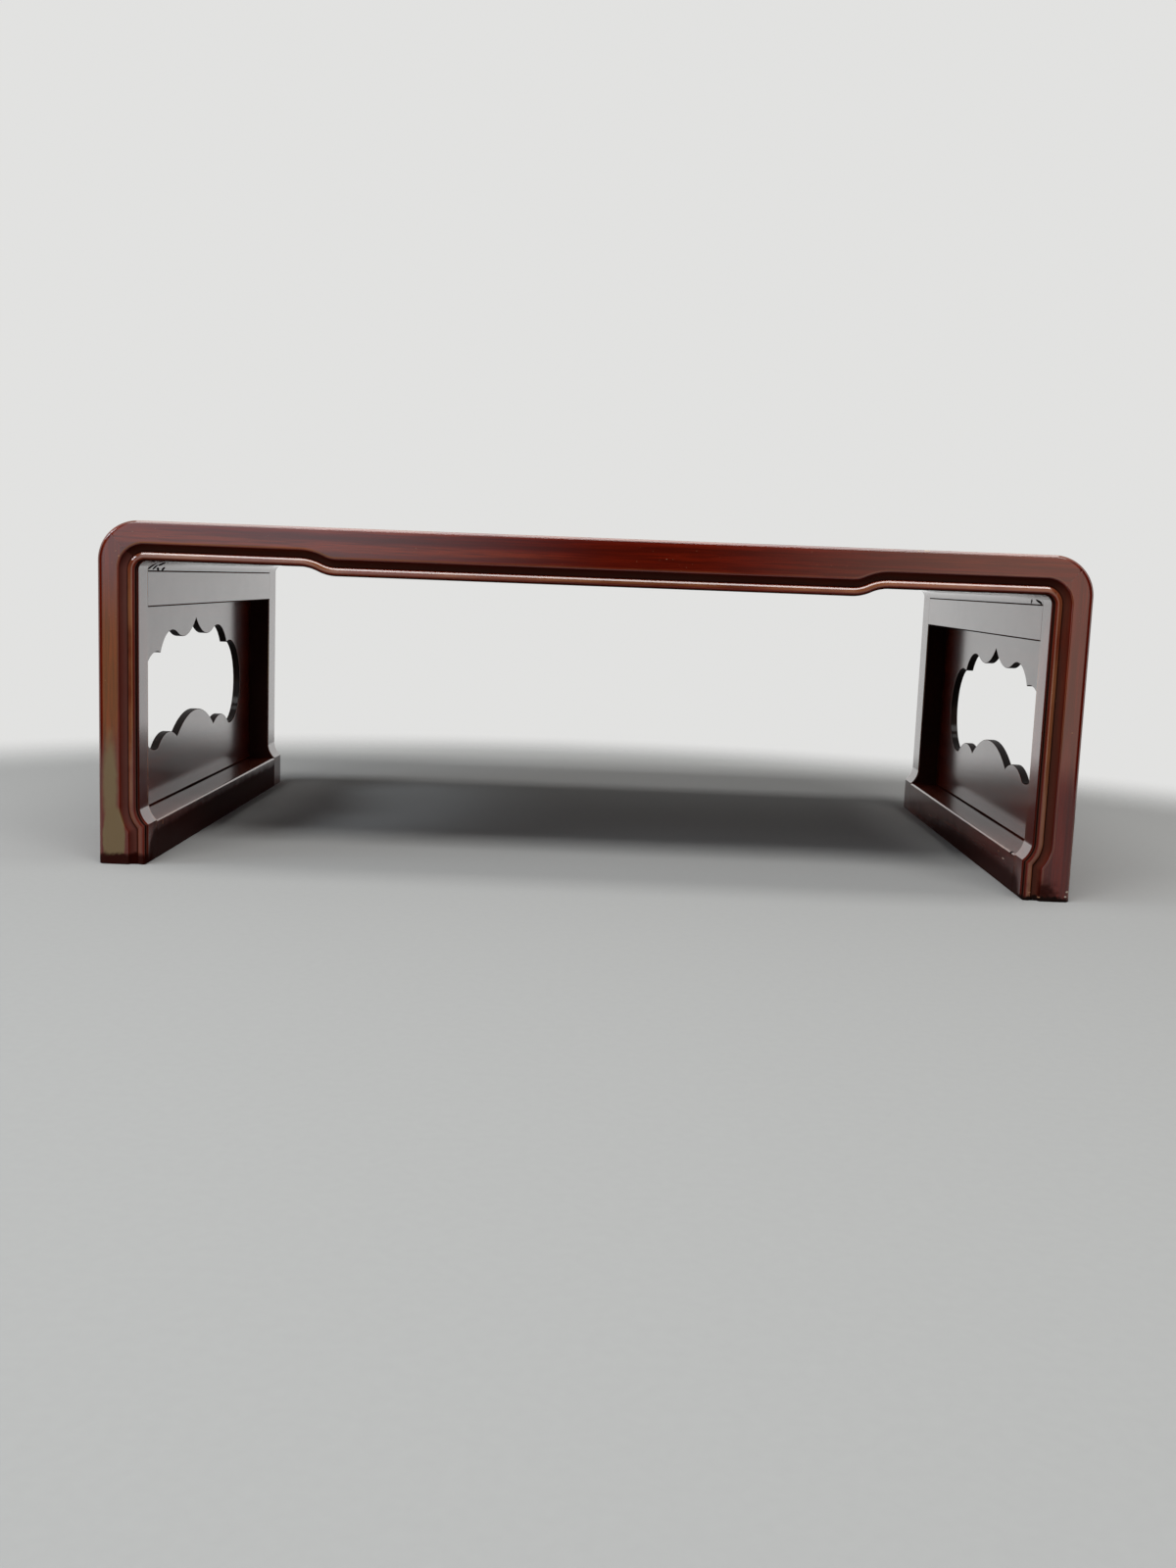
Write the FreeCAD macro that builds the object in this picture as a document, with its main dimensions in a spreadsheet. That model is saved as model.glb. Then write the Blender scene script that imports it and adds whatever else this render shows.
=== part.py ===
# Low display table of dark lacquered hardwood: two moulded frames with mitred corners, rounded end rails,
# a boarded top, and two legs whose panels are pierced with a cusped opening.
# Millimetres. +X runs along the width, +Y to the back and +Z up. The origin is on the floor under the
# middle of the top.
import FreeCAD, Part
import Sketcher

import math
import os
import re

SIZES = {
    # whole table
    "table_width": 606.0,
    "table_depth": 385.0,
    "table_height": 213.0,
    # front and rear frames
    "frame_thickness": 26.5,
    "stile_width": 23.0,
    "rail_depth": 24.0,
    "corner_radius": 25.0,
    "inner_corner_radius": 6.0,
    "edge_round": 1.5,
    "apron_drop": 5.2,
    "apron_half_length": 157.0,
    "ogee_length": 23.0,
    # moulding along the inner edge of the frames
    "bead_width": 5.2,
    "bead_rise": 1.6,
    "quirk_depth": 3.6,
    "cove_width": 5.2,
    "cove_hollow": 0.9,
    # feet
    "foot_height": 24.6,
    "foot_flare": 5.5,
    "flare_height": 12.0,
    "shelf_round": 1.5,
    # leg ends
    "upper_rail_depth": 23.0,
    "panel_recess": 16.0,
    "panel_thickness": 5.5,
    "panel_tongue": 3.0,
    "panel_tongue_length": 6.0,
    # pierced opening: reaches from the middle, drops below the upper rail, heights above the foot rail
    "peak_drop": 11.4,
    "lobe_reach": 48.0,
    "lobe_drop": 20.6,
    "lobe_sag": 7.3,
    "cusp_reach": 87.0,
    "cusp_drop": 33.0,
    "shoulder_rise": 7.1,
    "flank_reach": 124.5,
    "flank_height": 50.3,
    "side_rise": 22.0,
    "toe_reach": 93.5,
    "toe_height": 37.4,
    "toe_rise": 5.1,
    "notch_reach": 48.5,
    "notch_height": 40.7,
    "side_hump_rise": 7.0,
    "middle_hump_rise": 15.3,
    # tenons and fits
    "tenon_thickness": 8.0,
    "tenon_setback": 4.0,
    "tenon_shoulder": 4.0,
    "tenon_length": 12.0,
    "cap_tongue_width": 6.0,
    "cap_tongue_height": 5.0,
    "fit_clearance": 0.15,
    "depth_clearance": 1.0,
    # loose splines in the mitres
    "spline_reach": 8.0,
    "spline_thickness": 3.0,
    "spline_inset": 7.0,
    # end rails and boarded top
    "end_rail_width": 34.0,
    "end_tenon_inset": 1.0,
    "end_tenon_height": 8.5,
    "top_thickness": 12.0,
    "top_reveal": 0.8,
    "middle_board_width": 110.0,
    "board_gap": 0.3,
    "board_tongue": 4.0,
    "board_tongue_drop": 3.5,
    "board_tongue_length": 6.0,
    # battens under the top
    "batten_position": 130.0,
    "batten_width": 30.0,
    "batten_depth": 9.0,
    "batten_shoulder": 2.0,
    "dovetail_width": 14.0,
    "dovetail_flare": 1.5,
    "dovetail_height": 3.5,
    # how far a cutting profile stands clear of the wood
    "cut_margin": 1.0,
}

# Places worked out from the sizes, for the right-hand and front pieces
OUTER_X = "(table_width / 2)"
INNER_X = "(table_width / 2 - stile_width)"
FOOT_X = "(table_width / 2 - stile_width - foot_flare)"
PANEL_X = "(table_width / 2 - stile_width + panel_recess)"
TONGUE_X = "(table_width / 2 - stile_width + panel_recess + panel_tongue)"
END_X = "(table_width / 2 - end_rail_width)"
ARC_X = "(table_width / 2 - corner_radius)"
ARC_Z = "(table_height - corner_radius)"
UNDER_Z = "(table_height - rail_depth)"
BEND_X = "(table_width / 2 - stile_width - inner_corner_radius)"
BEND_Z = "(table_height - rail_depth - inner_corner_radius)"
UPPER_Z = "(table_height - rail_depth - inner_corner_radius - upper_rail_depth)"
FLARE_Z = "(foot_height + flare_height)"
BAY_Y = "(table_depth / 2 - frame_thickness)"
MITRE_OUT_X = "(table_width / 2 - corner_radius * (1 - sqrt(0.5)))"
MITRE_OUT_Z = "(table_height - corner_radius * (1 - sqrt(0.5)))"
MITRE_IN_X = f"({INNER_X} - inner_corner_radius * (1 - sqrt(0.5)))"
MITRE_IN_Z = f"({UNDER_Z} - inner_corner_radius * (1 - sqrt(0.5)))"
SPLINE_X = f"(({MITRE_OUT_X} + {MITRE_IN_X}) / 2)"
SPLINE_Z = f"(({MITRE_OUT_Z} + {MITRE_IN_Z}) / 2)"
APRON_END_X = "(apron_half_length + ogee_length)"
OGEE_X = "(apron_half_length + ogee_length / 2)"
OGEE_Z = f"({UNDER_Z} - apron_drop / 2)"
APRON_Z = f"({UNDER_Z} - apron_drop)"
OGEE_RADIUS = "((ogee_length ^ 2 + apron_drop ^ 2) / (4 * apron_drop))"
FLARE_RADIUS = "((flare_height ^ 2 + foot_flare ^ 2) / (2 * foot_flare))"
BOARD_UNDER_Z = "(table_height - top_reveal - top_thickness)"
BOARD_TONGUE_Z = "(table_height - top_reveal - board_tongue_drop - board_tongue)"
BATTEN_UNDER_Z = f"({BOARD_UNDER_Z} - batten_depth)"

# Two places nearer than this are the same, and a cut smaller than this has missed the wood
SAME_PLACE = 1e-6
SMALLEST_CUT = 1.0

doc = FreeCAD.newDocument("DisplayTable")
size_words = re.compile(r"\b(%s)\b" % "|".join(SIZES))


def bound(expression):
    """The expression with each size's name pointing at its cell."""
    return size_words.sub(r"Sizes.\1", expression)


def write_sheet():
    """One row for each size: its name, and its value in a cell with that alias."""
    sheet = doc.addObject("Spreadsheet::Sheet", "Sizes")
    for row, (name, value) in enumerate(SIZES.items(), start=1):
        sheet.set(f"A{row}", name)
        sheet.set(f"B{row}", str(value))
        sheet.setAlias(f"B{row}", name)
    doc.recompute()


def new_body(label):
    """An empty body that carries the piece's name."""
    body = doc.addObject("PartDesign::Body", label)
    body.Label = label
    return body


def sketch_on(body, name, role, offset="0"):
    """A sketch on one of the body's own origin planes, moved along that plane's normal."""
    sketch = body.newObject("Sketcher::SketchObject", name)
    plane = next(feature for feature in body.Origin.OriginFeatures if feature.Role == role)
    sketch.AttachmentSupport = (plane, [""])
    sketch.MapMode = "FlatFace"
    sketch.setExpression("AttachmentOffset.Base.z", bound(offset))
    doc.recompute()
    return sketch


def minus(expression):
    """The same length on the other side of the origin."""
    return f"-({expression})"


def rise_radius(start, end, rise):
    """The radius of an arc between two corners that stands off their chord by the rise."""
    chord_squared = f"((({end[0]}) - ({start[0]})) ^ 2 + (({end[1]}) - ({start[1]})) ^ 2)"
    return f"(({chord_squared} / 4 + ({rise}) ^ 2) / (2 * ({rise})))"


def arc_between(start, end, radius):
    """The shorter arc from start to end, bending left for a positive radius and right for a negative one."""
    chord = end - start
    left = FreeCAD.Vector(-chord.y, chord.x, 0).normalize()
    reach = math.sqrt(max(radius ** 2 - chord.Length ** 2 / 4, 0))
    centre = (start + end) / 2 + left * math.copysign(reach, radius)
    first, last = (start, end) if radius > 0 else (end, start)
    angles = [math.atan2(point.y - centre.y, point.x - centre.x) for point in (first, last)]
    circle = Part.Circle(centre, FreeCAD.Vector(0, 0, 1), abs(radius))
    return Part.ArcOfCircle(circle, *angles)


def bind(sketch, constraint, expression):
    """Adds a dimension and ties it to its expression."""
    index = sketch.addConstraint(constraint)
    sketch.setExpression(f"Constraints[{index}]", bound(expression))


def hold_point(sketch, edge, point, place):
    """Fixes an edge's end by its two distances from the sketch's origin."""
    horizontal_axis, vertical_axis = -1, -2
    origin = (horizontal_axis, 1)
    across_and_up = (("DistanceX", vertical_axis, place[0]), ("DistanceY", horizontal_axis, place[1]))
    for kind, axis, expression in across_and_up:
        if expression == "0":
            sketch.addConstraint(Sketcher.Constraint("PointOnObject", edge, point, axis))
        else:
            distance = sketch.evalExpression(bound(expression))
            bind(sketch, Sketcher.Constraint(kind, *origin, edge, point, distance), expression)


def draw(sketch, corners, closed=True):
    """Draws edges through the corners. A corner is (x, y), or (x, y, radius) where an arc leaves it."""
    first_end, last_end = 1, 2
    points = []
    for corner in corners:
        x, y = [sketch.evalExpression(bound(word)) for word in corner[:2]]
        points.append(FreeCAD.Vector(x, y, 0))
    edge_count = len(corners) if closed else len(corners) - 1
    edges = []
    for index in range(edge_count):
        start, end = points[index], points[(index + 1) % len(points)]
        if len(corners[index]) == 2:
            edges.append((sketch.addGeometry(Part.LineSegment(start, end), False), first_end, last_end))
            continue
        radius = sketch.evalExpression(bound(corners[index][2]))
        edge = sketch.addGeometry(arc_between(start, end, radius), False)
        edges.append((edge, first_end, last_end) if radius > 0 else (edge, last_end, first_end))
        bind(sketch, Sketcher.Constraint("Radius", edge, abs(radius)), f"abs({corners[index][2]})")
    for index, (edge, first, last) in enumerate(edges):
        hold_point(sketch, edge, first, corners[index])
        if closed or index + 1 < edge_count:
            following = edges[(index + 1) % edge_count]
            sketch.addConstraint(Sketcher.Constraint("Coincident", edge, last, following[0], following[1]))
    if not closed:
        hold_point(sketch, edges[-1][0], edges[-1][2], corners[-1])
    doc.recompute()
    return sketch


def draw_rectangle(sketch, low_x, high_x, low_y, high_y):
    """Draws a rectangle between two pairs of distances from the sketch's origin."""
    return draw(sketch, [(low_x, low_y), (high_x, low_y), (high_x, high_y), (low_x, high_y)])


def pad(body, sketch, length, backwards=False, both_ways=False):
    """Adds the sketch's outline, drawn out along its normal, backwards or evenly both ways."""
    feature = body.newObject("PartDesign::Pad", sketch.Name + "Pad")
    feature.Profile = sketch
    feature.Reversed = backwards
    feature.SideType = "Symmetric" if both_ways else "One side"
    feature.setExpression("Length", bound(length))
    doc.recompute()
    return feature


def pocket(body, sketch, length, along_normal=False, both_ways=False):
    """Cuts the sketch's outline against its normal, along it or evenly both ways."""
    volume = body.Shape.Volume
    feature = body.newObject("PartDesign::Pocket", sketch.Name + "Pocket")
    feature.Profile = sketch
    feature.Reversed = along_normal
    feature.SideType = "Symmetric" if both_ways else "One side"
    feature.setExpression("Length", bound(length))
    doc.recompute()
    if body.Shape.Volume > volume - SMALLEST_CUT:
        raise RuntimeError(f"{feature.Name} cuts nothing")
    return feature


def round_edges(body, radius, chosen):
    """Rounds the edges of the body so far whose middle point is one of the chosen ones."""
    base = body.Tip
    middles = [edge.valueAt((edge.FirstParameter + edge.LastParameter) / 2) for edge in base.Shape.Edges]
    names = [f"Edge{number}" for number, middle in enumerate(middles, start=1) if chosen(middle)]
    feature = body.newObject("PartDesign::Fillet", body.Name + "Rounding")
    feature.Base = (base, names)
    feature.setExpression("Radius", bound(radius))
    doc.recompute()


def mirrored(source, label, normal):
    """The opposite piece, mirrored in the table's middle plane across the normal."""
    piece = doc.addObject("Part::Mirroring", label)
    piece.Label = label
    piece.Source = source
    piece.Normal = normal
    return piece


def across(source, label):
    """The same piece at the other end of the table."""
    return mirrored(source, label, FreeCAD.Vector(1, 0, 0))


def behind(source, label):
    """The same piece at the back of the table."""
    return mirrored(source, label, FreeCAD.Vector(0, 1, 0))


def stand_at_front(body):
    """Puts a frame piece, drawn with its face on the middle plane, at the front of the table."""
    body.setExpression("Placement.Base.y", bound("-table_depth / 2"))


def cut_moulding(body, path, edge_x, start_z):
    """Runs the cove and bead along the inner edge, from the profile at the path's first corner."""
    bead_end = f"({edge_x} + bead_width)"
    cove_end = f"({edge_x} + bead_width + cove_width)"
    quirk = (bead_end, "quirk_depth")
    profile = sketch_on(body, body.Name + "Moulding", "XY_Plane", start_z)
    draw(profile, [
        (f"({edge_x} - cut_margin)", "-cut_margin"),
        (cove_end, "-cut_margin"),
        (cove_end, "0", rise_radius((cove_end, "0"), quirk, "cove_hollow")),
        (*quirk, minus(rise_radius(quirk, (edge_x, "quirk_depth"), "bead_rise"))),
        (edge_x, "quirk_depth"),
        (f"({edge_x} - cut_margin)", "quirk_depth"),
    ])
    inner_edge = sketch_on(body, body.Name + "InnerEdge", "XZ_Plane")
    draw(inner_edge, path, closed=False)
    volume = body.Shape.Volume
    feature = body.newObject("PartDesign::SubtractivePipe", body.Name + "MouldingCut")
    feature.Profile = profile
    feature.Spine = (inner_edge, [""])
    feature.Transition = "Right corner"
    doc.recompute()
    if body.Shape.Volume > volume - SMALLEST_CUT:
        raise RuntimeError(f"{feature.Name} cuts nothing")


def draw_spline(sketch, side, clearance):
    """Draws the square loose spline, set corner-wise on the middle of the mitre."""
    x = SPLINE_X if side > 0 else minus(SPLINE_X)
    reach = f"(spline_reach + {clearance})"
    draw(sketch, [
        (x, f"{SPLINE_Z} - {reach}"),
        (f"{x} + {reach}", SPLINE_Z),
        (x, f"{SPLINE_Z} + {reach}"),
        (f"{x} - {reach}", SPLINE_Z),
    ])


def cut_spline_slot(body, side):
    """Cuts the half of the spline's slot that lies in this piece."""
    slot = sketch_on(body, f"{body.Name}SplineSlot{'Right' if side > 0 else 'Left'}", "XZ_Plane",
                     "fit_clearance - spline_inset")
    draw_spline(slot, side, "fit_clearance")
    pocket(body, slot, "spline_thickness + 2 * fit_clearance")


def cut_from_inside(body, name, rectangles, depth):
    """Cuts rectangular mortises or grooves into the inner face of a frame piece."""
    sketch = sketch_on(body, body.Name + name, "XZ_Plane", "-frame_thickness")
    for rectangle in rectangles:
        draw_rectangle(sketch, *rectangle)
    pocket(body, sketch, f"{depth} + depth_clearance", along_normal=True)


def loosened(low_x, high_x, low_z, high_z):
    """A rectangle that leaves the fit's clearance all round a tenon or tongue."""
    return (f"{low_x} - fit_clearance", f"{high_x} + fit_clearance",
            f"{low_z} - fit_clearance", f"{high_z} + fit_clearance")


def leg_tenon(inner_x, low_z, high_z):
    """The section of a leg rail's tenon, set back from the rail's inner face and between its shoulders."""
    return (f"({inner_x} + tenon_setback)", f"({inner_x} + tenon_setback + tenon_thickness)",
            f"({low_z} + tenon_shoulder)", f"({high_z} - tenon_shoulder)")


UPPER_TENON = leg_tenon(INNER_X, UPPER_Z, BEND_Z)
FOOT_TENON = leg_tenon(FOOT_X, "0", "foot_height")
END_TENON = (f"({END_X} + end_tenon_inset)", f"({END_X} + end_tenon_inset + tenon_thickness)",
             f"({UNDER_Z} + tenon_shoulder)", f"({UNDER_Z} + tenon_shoulder + end_tenon_height)")
BATTEN_TENON = ("(batten_position - batten_width / 2 + batten_shoulder)",
                "(batten_position + batten_width / 2 - batten_shoulder)",
                f"({BATTEN_UNDER_Z} + batten_shoulder)", f"({BOARD_UNDER_Z} - batten_shoulder)")


def on_left(low_x, high_x, low_z, high_z):
    """The same rectangle at the left end of a rail."""
    return minus(high_x), minus(low_x), low_z, high_z


def make_stile():
    """A front stile: mitred at the top, moulded on its inner edge and flared into the foot."""
    body = new_body("front_right_stile")
    blank = sketch_on(body, "StileBlank", "XZ_Plane")
    draw(blank, [
        (OUTER_X, "0"),
        (OUTER_X, ARC_Z, "corner_radius"),
        (MITRE_OUT_X, MITRE_OUT_Z),
        (MITRE_IN_X, MITRE_IN_Z, "-inner_corner_radius"),
        (INNER_X, BEND_Z),
        (INNER_X, FLARE_Z, minus(FLARE_RADIUS)),
        (FOOT_X, "foot_height"),
        (FOOT_X, "0"),
    ])
    pad(body, blank, "frame_thickness", backwards=True)
    cut_moulding(body, [
        (FOOT_X, "0"),
        (FOOT_X, "foot_height", FLARE_RADIUS),
        (INNER_X, FLARE_Z),
        (INNER_X, BEND_Z, "inner_corner_radius"),
        (BEND_X, UNDER_Z),
    ], FOOT_X, "0")
    cut_from_inside(body, "Mortises", [loosened(*UPPER_TENON), loosened(*FOOT_TENON)], "tenon_length")
    groove_end = "panel_tongue_length + depth_clearance"
    groove = (f"{PANEL_X} - fit_clearance", f"{TONGUE_X} + fit_clearance",
              f"foot_height - ({groove_end})", f"{UPPER_Z} + {groove_end}")
    cut_from_inside(body, "PanelGroove", [groove], "panel_tongue_length")
    cut_spline_slot(body, 1)
    outside = blank.evalExpression(bound(MITRE_OUT_X))
    round_edges(body, "edge_round", lambda point: abs(point.y) < SAME_PLACE and point.x > outside)
    stand_at_front(body)
    return body


def make_rail():
    """The front rail: mitred ends, and a lower edge that drops by an ogee to the apron."""
    body = new_body("front_rail")
    blank = sketch_on(body, "RailBlank", "XZ_Plane")
    left_ogee = [
        (minus(APRON_END_X), UNDER_Z, minus(OGEE_RADIUS)),
        (minus(OGEE_X), OGEE_Z, OGEE_RADIUS),
        ("-apron_half_length", APRON_Z),
    ]
    right_ogee = [
        ("apron_half_length", APRON_Z, OGEE_RADIUS),
        (OGEE_X, OGEE_Z, minus(OGEE_RADIUS)),
        (APRON_END_X, UNDER_Z),
    ]
    draw(blank, [
        (MITRE_OUT_X, MITRE_OUT_Z, "corner_radius"),
        (ARC_X, "table_height"),
        (minus(ARC_X), "table_height", "corner_radius"),
        (minus(MITRE_OUT_X), MITRE_OUT_Z),
        (minus(MITRE_IN_X), MITRE_IN_Z, "-inner_corner_radius"),
        (minus(BEND_X), UNDER_Z),
        *left_ogee,
        *right_ogee,
        (BEND_X, UNDER_Z, "-inner_corner_radius"),
        (MITRE_IN_X, MITRE_IN_Z),
    ])
    pad(body, blank, "frame_thickness", backwards=True)
    cut_moulding(body, [
        (INNER_X, BEND_Z, "inner_corner_radius"),
        (BEND_X, UNDER_Z),
        (APRON_END_X, UNDER_Z, OGEE_RADIUS),
        (OGEE_X, OGEE_Z, minus(OGEE_RADIUS)),
        ("apron_half_length", APRON_Z),
        ("-apron_half_length", APRON_Z, minus(OGEE_RADIUS)),
        (minus(OGEE_X), OGEE_Z, OGEE_RADIUS),
        (minus(APRON_END_X), UNDER_Z),
        (minus(BEND_X), UNDER_Z, "inner_corner_radius"),
        (minus(INNER_X), BEND_Z),
    ], INNER_X, BEND_Z)
    tenons = [END_TENON, on_left(*END_TENON), BATTEN_TENON, on_left(*BATTEN_TENON)]
    cut_from_inside(body, "Mortises", [loosened(*tenon) for tenon in tenons], "tenon_length")
    groove = loosened(minus(END_X), END_X, BOARD_TONGUE_Z, f"({BOARD_TONGUE_Z} + board_tongue)")
    cut_from_inside(body, "BoardGroove", [groove], "board_tongue_length")
    cut_spline_slot(body, 1)
    cut_spline_slot(body, -1)
    outside = blank.evalExpression(bound(MITRE_OUT_Z))
    round_edges(body, "edge_round", lambda point: abs(point.y) < SAME_PLACE and point.z > outside)
    stand_at_front(body)
    return body


def make_spline():
    """The loose spline that keys the front right mitre."""
    body = new_body("front_right_mitre_spline")
    sketch = sketch_on(body, "SplineFace", "XZ_Plane", "-spline_inset")
    draw_spline(sketch, 1, "0")
    pad(body, sketch, "spline_thickness", backwards=True)
    stand_at_front(body)
    return body


def run_between_frames(body, section, tenon):
    """Draws a section out between the frames, and a tenon's section on into both of them."""
    pad(body, section, f"2 * {BAY_Y}", both_ways=True)
    sketch = draw_rectangle(sketch_on(body, body.Name + "Tenon", "XZ_Plane"), *tenon)
    pad(body, sketch, f"2 * ({BAY_Y} + tenon_length)", both_ways=True)


def make_end_rail():
    """The rounded rail across the right end, grooved for the boards and for the upper rail's tongue."""
    body = new_body("right_end_rail")
    section = sketch_on(body, "EndRailSection", "XZ_Plane")
    groove_x = f"({END_X} + board_tongue_length + depth_clearance)"
    groove_low = f"({BOARD_TONGUE_Z} - fit_clearance)"
    groove_high = f"({BOARD_TONGUE_Z} + board_tongue + fit_clearance)"
    cap_low = "(table_width / 2 - stile_width / 2 - cap_tongue_width / 2 - fit_clearance)"
    cap_high = "(table_width / 2 - stile_width / 2 + cap_tongue_width / 2 + fit_clearance)"
    cap_top = f"({BEND_Z} + cap_tongue_height + depth_clearance)"
    draw(section, [
        (OUTER_X, BEND_Z),
        (OUTER_X, ARC_Z, "corner_radius"),
        (ARC_X, "table_height"),
        (END_X, "table_height"),
        (END_X, groove_high),
        (groove_x, groove_high),
        (groove_x, groove_low),
        (END_X, groove_low),
        (END_X, UNDER_Z),
        (BEND_X, UNDER_Z, "-inner_corner_radius"),
        (INNER_X, BEND_Z),
        (cap_low, BEND_Z),
        (cap_low, cap_top),
        (cap_high, cap_top),
        (cap_high, BEND_Z),
    ])
    run_between_frames(body, section, END_TENON)
    return body


def make_upper_rail():
    """The upper rail of the right leg: a tongue along its top and the panel's groove along its bottom."""
    body = new_body("right_upper_rail")
    section = sketch_on(body, "UpperRailSection", "XZ_Plane")
    cap_low = "(table_width / 2 - stile_width / 2 - cap_tongue_width / 2)"
    cap_high = "(table_width / 2 - stile_width / 2 + cap_tongue_width / 2)"
    groove_low = f"({PANEL_X} - fit_clearance)"
    groove_high = f"({TONGUE_X} + fit_clearance)"
    groove_top = f"({UPPER_Z} + panel_tongue_length + depth_clearance)"
    draw(section, [
        (INNER_X, UPPER_Z),
        (groove_low, UPPER_Z),
        (groove_low, groove_top),
        (groove_high, groove_top),
        (groove_high, UPPER_Z),
        (OUTER_X, UPPER_Z),
        (OUTER_X, BEND_Z),
        (cap_high, BEND_Z),
        (cap_high, f"({BEND_Z} + cap_tongue_height)"),
        (cap_low, f"({BEND_Z} + cap_tongue_height)"),
        (cap_low, BEND_Z),
        (INNER_X, BEND_Z),
    ])
    run_between_frames(body, section, UPPER_TENON)
    return body


def make_foot_rail():
    """The foot rail of the right leg, with the panel's groove in its top and its inner edge rounded."""
    body = new_body("right_foot_rail")
    section = sketch_on(body, "FootRailSection", "XZ_Plane")
    groove_low = f"({PANEL_X} - fit_clearance)"
    groove_high = f"({TONGUE_X} + fit_clearance)"
    groove_bottom = "(foot_height - panel_tongue_length - depth_clearance)"
    draw(section, [
        (FOOT_X, "0"),
        (OUTER_X, "0"),
        (OUTER_X, "foot_height"),
        (groove_high, "foot_height"),
        (groove_high, groove_bottom),
        (groove_low, groove_bottom),
        (groove_low, "foot_height"),
        (FOOT_X, "foot_height"),
    ])
    run_between_frames(body, section, FOOT_TENON)
    inner_x = section.evalExpression(bound(FOOT_X))
    shelf_z = section.evalExpression(bound("foot_height"))
    round_edges(body, "shelf_round",
                lambda point: math.hypot(point.x - inner_x, point.z - shelf_z) < SAME_PLACE)
    return body


def opening_corners():
    """The cusped opening, clockwise from its peak: half of it as written, and half mirrored."""
    peak = ("0", f"({UPPER_Z} - peak_drop)")
    lobe = ("lobe_reach", f"({UPPER_Z} - lobe_drop)")
    cusp = ("cusp_reach", f"({UPPER_Z} - cusp_drop)")
    flank = ("flank_reach", "(foot_height + flank_height)")
    toe = ("toe_reach", "(foot_height + toe_height)")
    notch = ("notch_reach", "(foot_height + notch_height)")
    far_notch = (minus(notch[0]), notch[1])
    half = [peak, lobe, cusp, flank, toe, notch]
    bends = [
        rise_radius(peak, lobe, "lobe_sag"),
        minus(rise_radius(lobe, cusp, "shoulder_rise")),
        minus(rise_radius(cusp, flank, "side_rise")),
        minus(rise_radius(flank, toe, "toe_rise")),
        rise_radius(toe, notch, "side_hump_rise"),
    ]
    middle_hump = rise_radius(notch, far_notch, "middle_hump_rise")
    near_side = [(*place, bend) for place, bend in zip(half, bends + [middle_hump])]
    far_side = [(minus(x), z, bend) for (x, z), bend in zip(half[:0:-1], bends[::-1])]
    return near_side + far_side


def make_leg_panel():
    """The right leg's panel: tongued all round on its inner side and pierced with the cusped opening."""
    body = new_body("right_leg_panel")
    plate = sketch_on(body, "TonguePlate", "YZ_Plane", PANEL_X)
    side = f"({BAY_Y} + panel_tongue_length)"
    draw_rectangle(plate, minus(side), side, "(foot_height - panel_tongue_length)",
                   f"({UPPER_Z} + panel_tongue_length)")
    pad(body, plate, "panel_tongue")
    field = sketch_on(body, "Field", "YZ_Plane", TONGUE_X)
    field_side = f"({BAY_Y} - fit_clearance)"
    draw_rectangle(field, minus(field_side), field_side, "foot_height", f"({UPPER_Z} - fit_clearance)")
    pad(body, field, "panel_thickness - panel_tongue")
    opening = draw(sketch_on(body, "Opening", "YZ_Plane", PANEL_X), opening_corners())
    pocket(body, opening, "panel_thickness", along_normal=True)
    return body


def cut_dovetails(body):
    """Cuts the battens' dovetail housings across the underside of a board."""
    low = f"({BOARD_UNDER_Z} - cut_margin)"
    high = f"({BOARD_UNDER_Z} + dovetail_height + fit_clearance)"
    narrow = "(dovetail_width / 2 - dovetail_flare * cut_margin / dovetail_height + fit_clearance)"
    wide = "(dovetail_width / 2 + dovetail_flare * (1 + fit_clearance / dovetail_height) + fit_clearance)"
    sketch = sketch_on(body, body.Name + "Dovetails", "XZ_Plane")
    for middle in ("batten_position", "-batten_position"):
        draw(sketch, [
            (f"{middle} - {narrow}", low),
            (f"{middle} + {narrow}", low),
            (f"{middle} + {wide}", high),
            (f"{middle} - {wide}", high),
        ])
    pocket(body, sketch, "table_depth", both_ways=True)


def make_middle_board():
    """The middle board of the top: tongued into the end rails and grooved along both edges."""
    body = new_body("top_middle_board")
    half = "(middle_board_width / 2)"
    end = f"({END_X} - board_gap)"
    face = sketch_on(body, "MiddleBoardFace", "XY_Plane", BOARD_UNDER_Z)
    pad(body, draw_rectangle(face, minus(end), end, minus(half), half), "top_thickness")
    tongue_end = f"({END_X} + board_tongue_length)"
    tongue = sketch_on(body, "MiddleBoardTongue", "XY_Plane", BOARD_TONGUE_Z)
    pad(body, draw_rectangle(tongue, minus(tongue_end), tongue_end, minus(half), half), "board_tongue")
    groove = sketch_on(body, "MiddleBoardGrooves", "XY_Plane", f"{BOARD_TONGUE_Z} - fit_clearance")
    inner = f"({half} - board_tongue_length - depth_clearance)"
    outer = f"({half} + cut_margin)"
    cut_end = f"({tongue_end} + cut_margin)"
    draw_rectangle(groove, minus(cut_end), cut_end, inner, outer)
    draw_rectangle(groove, minus(cut_end), cut_end, minus(outer), minus(inner))
    pocket(body, groove, "board_tongue + 2 * fit_clearance", along_normal=True)
    cut_dovetails(body)
    return body


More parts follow.
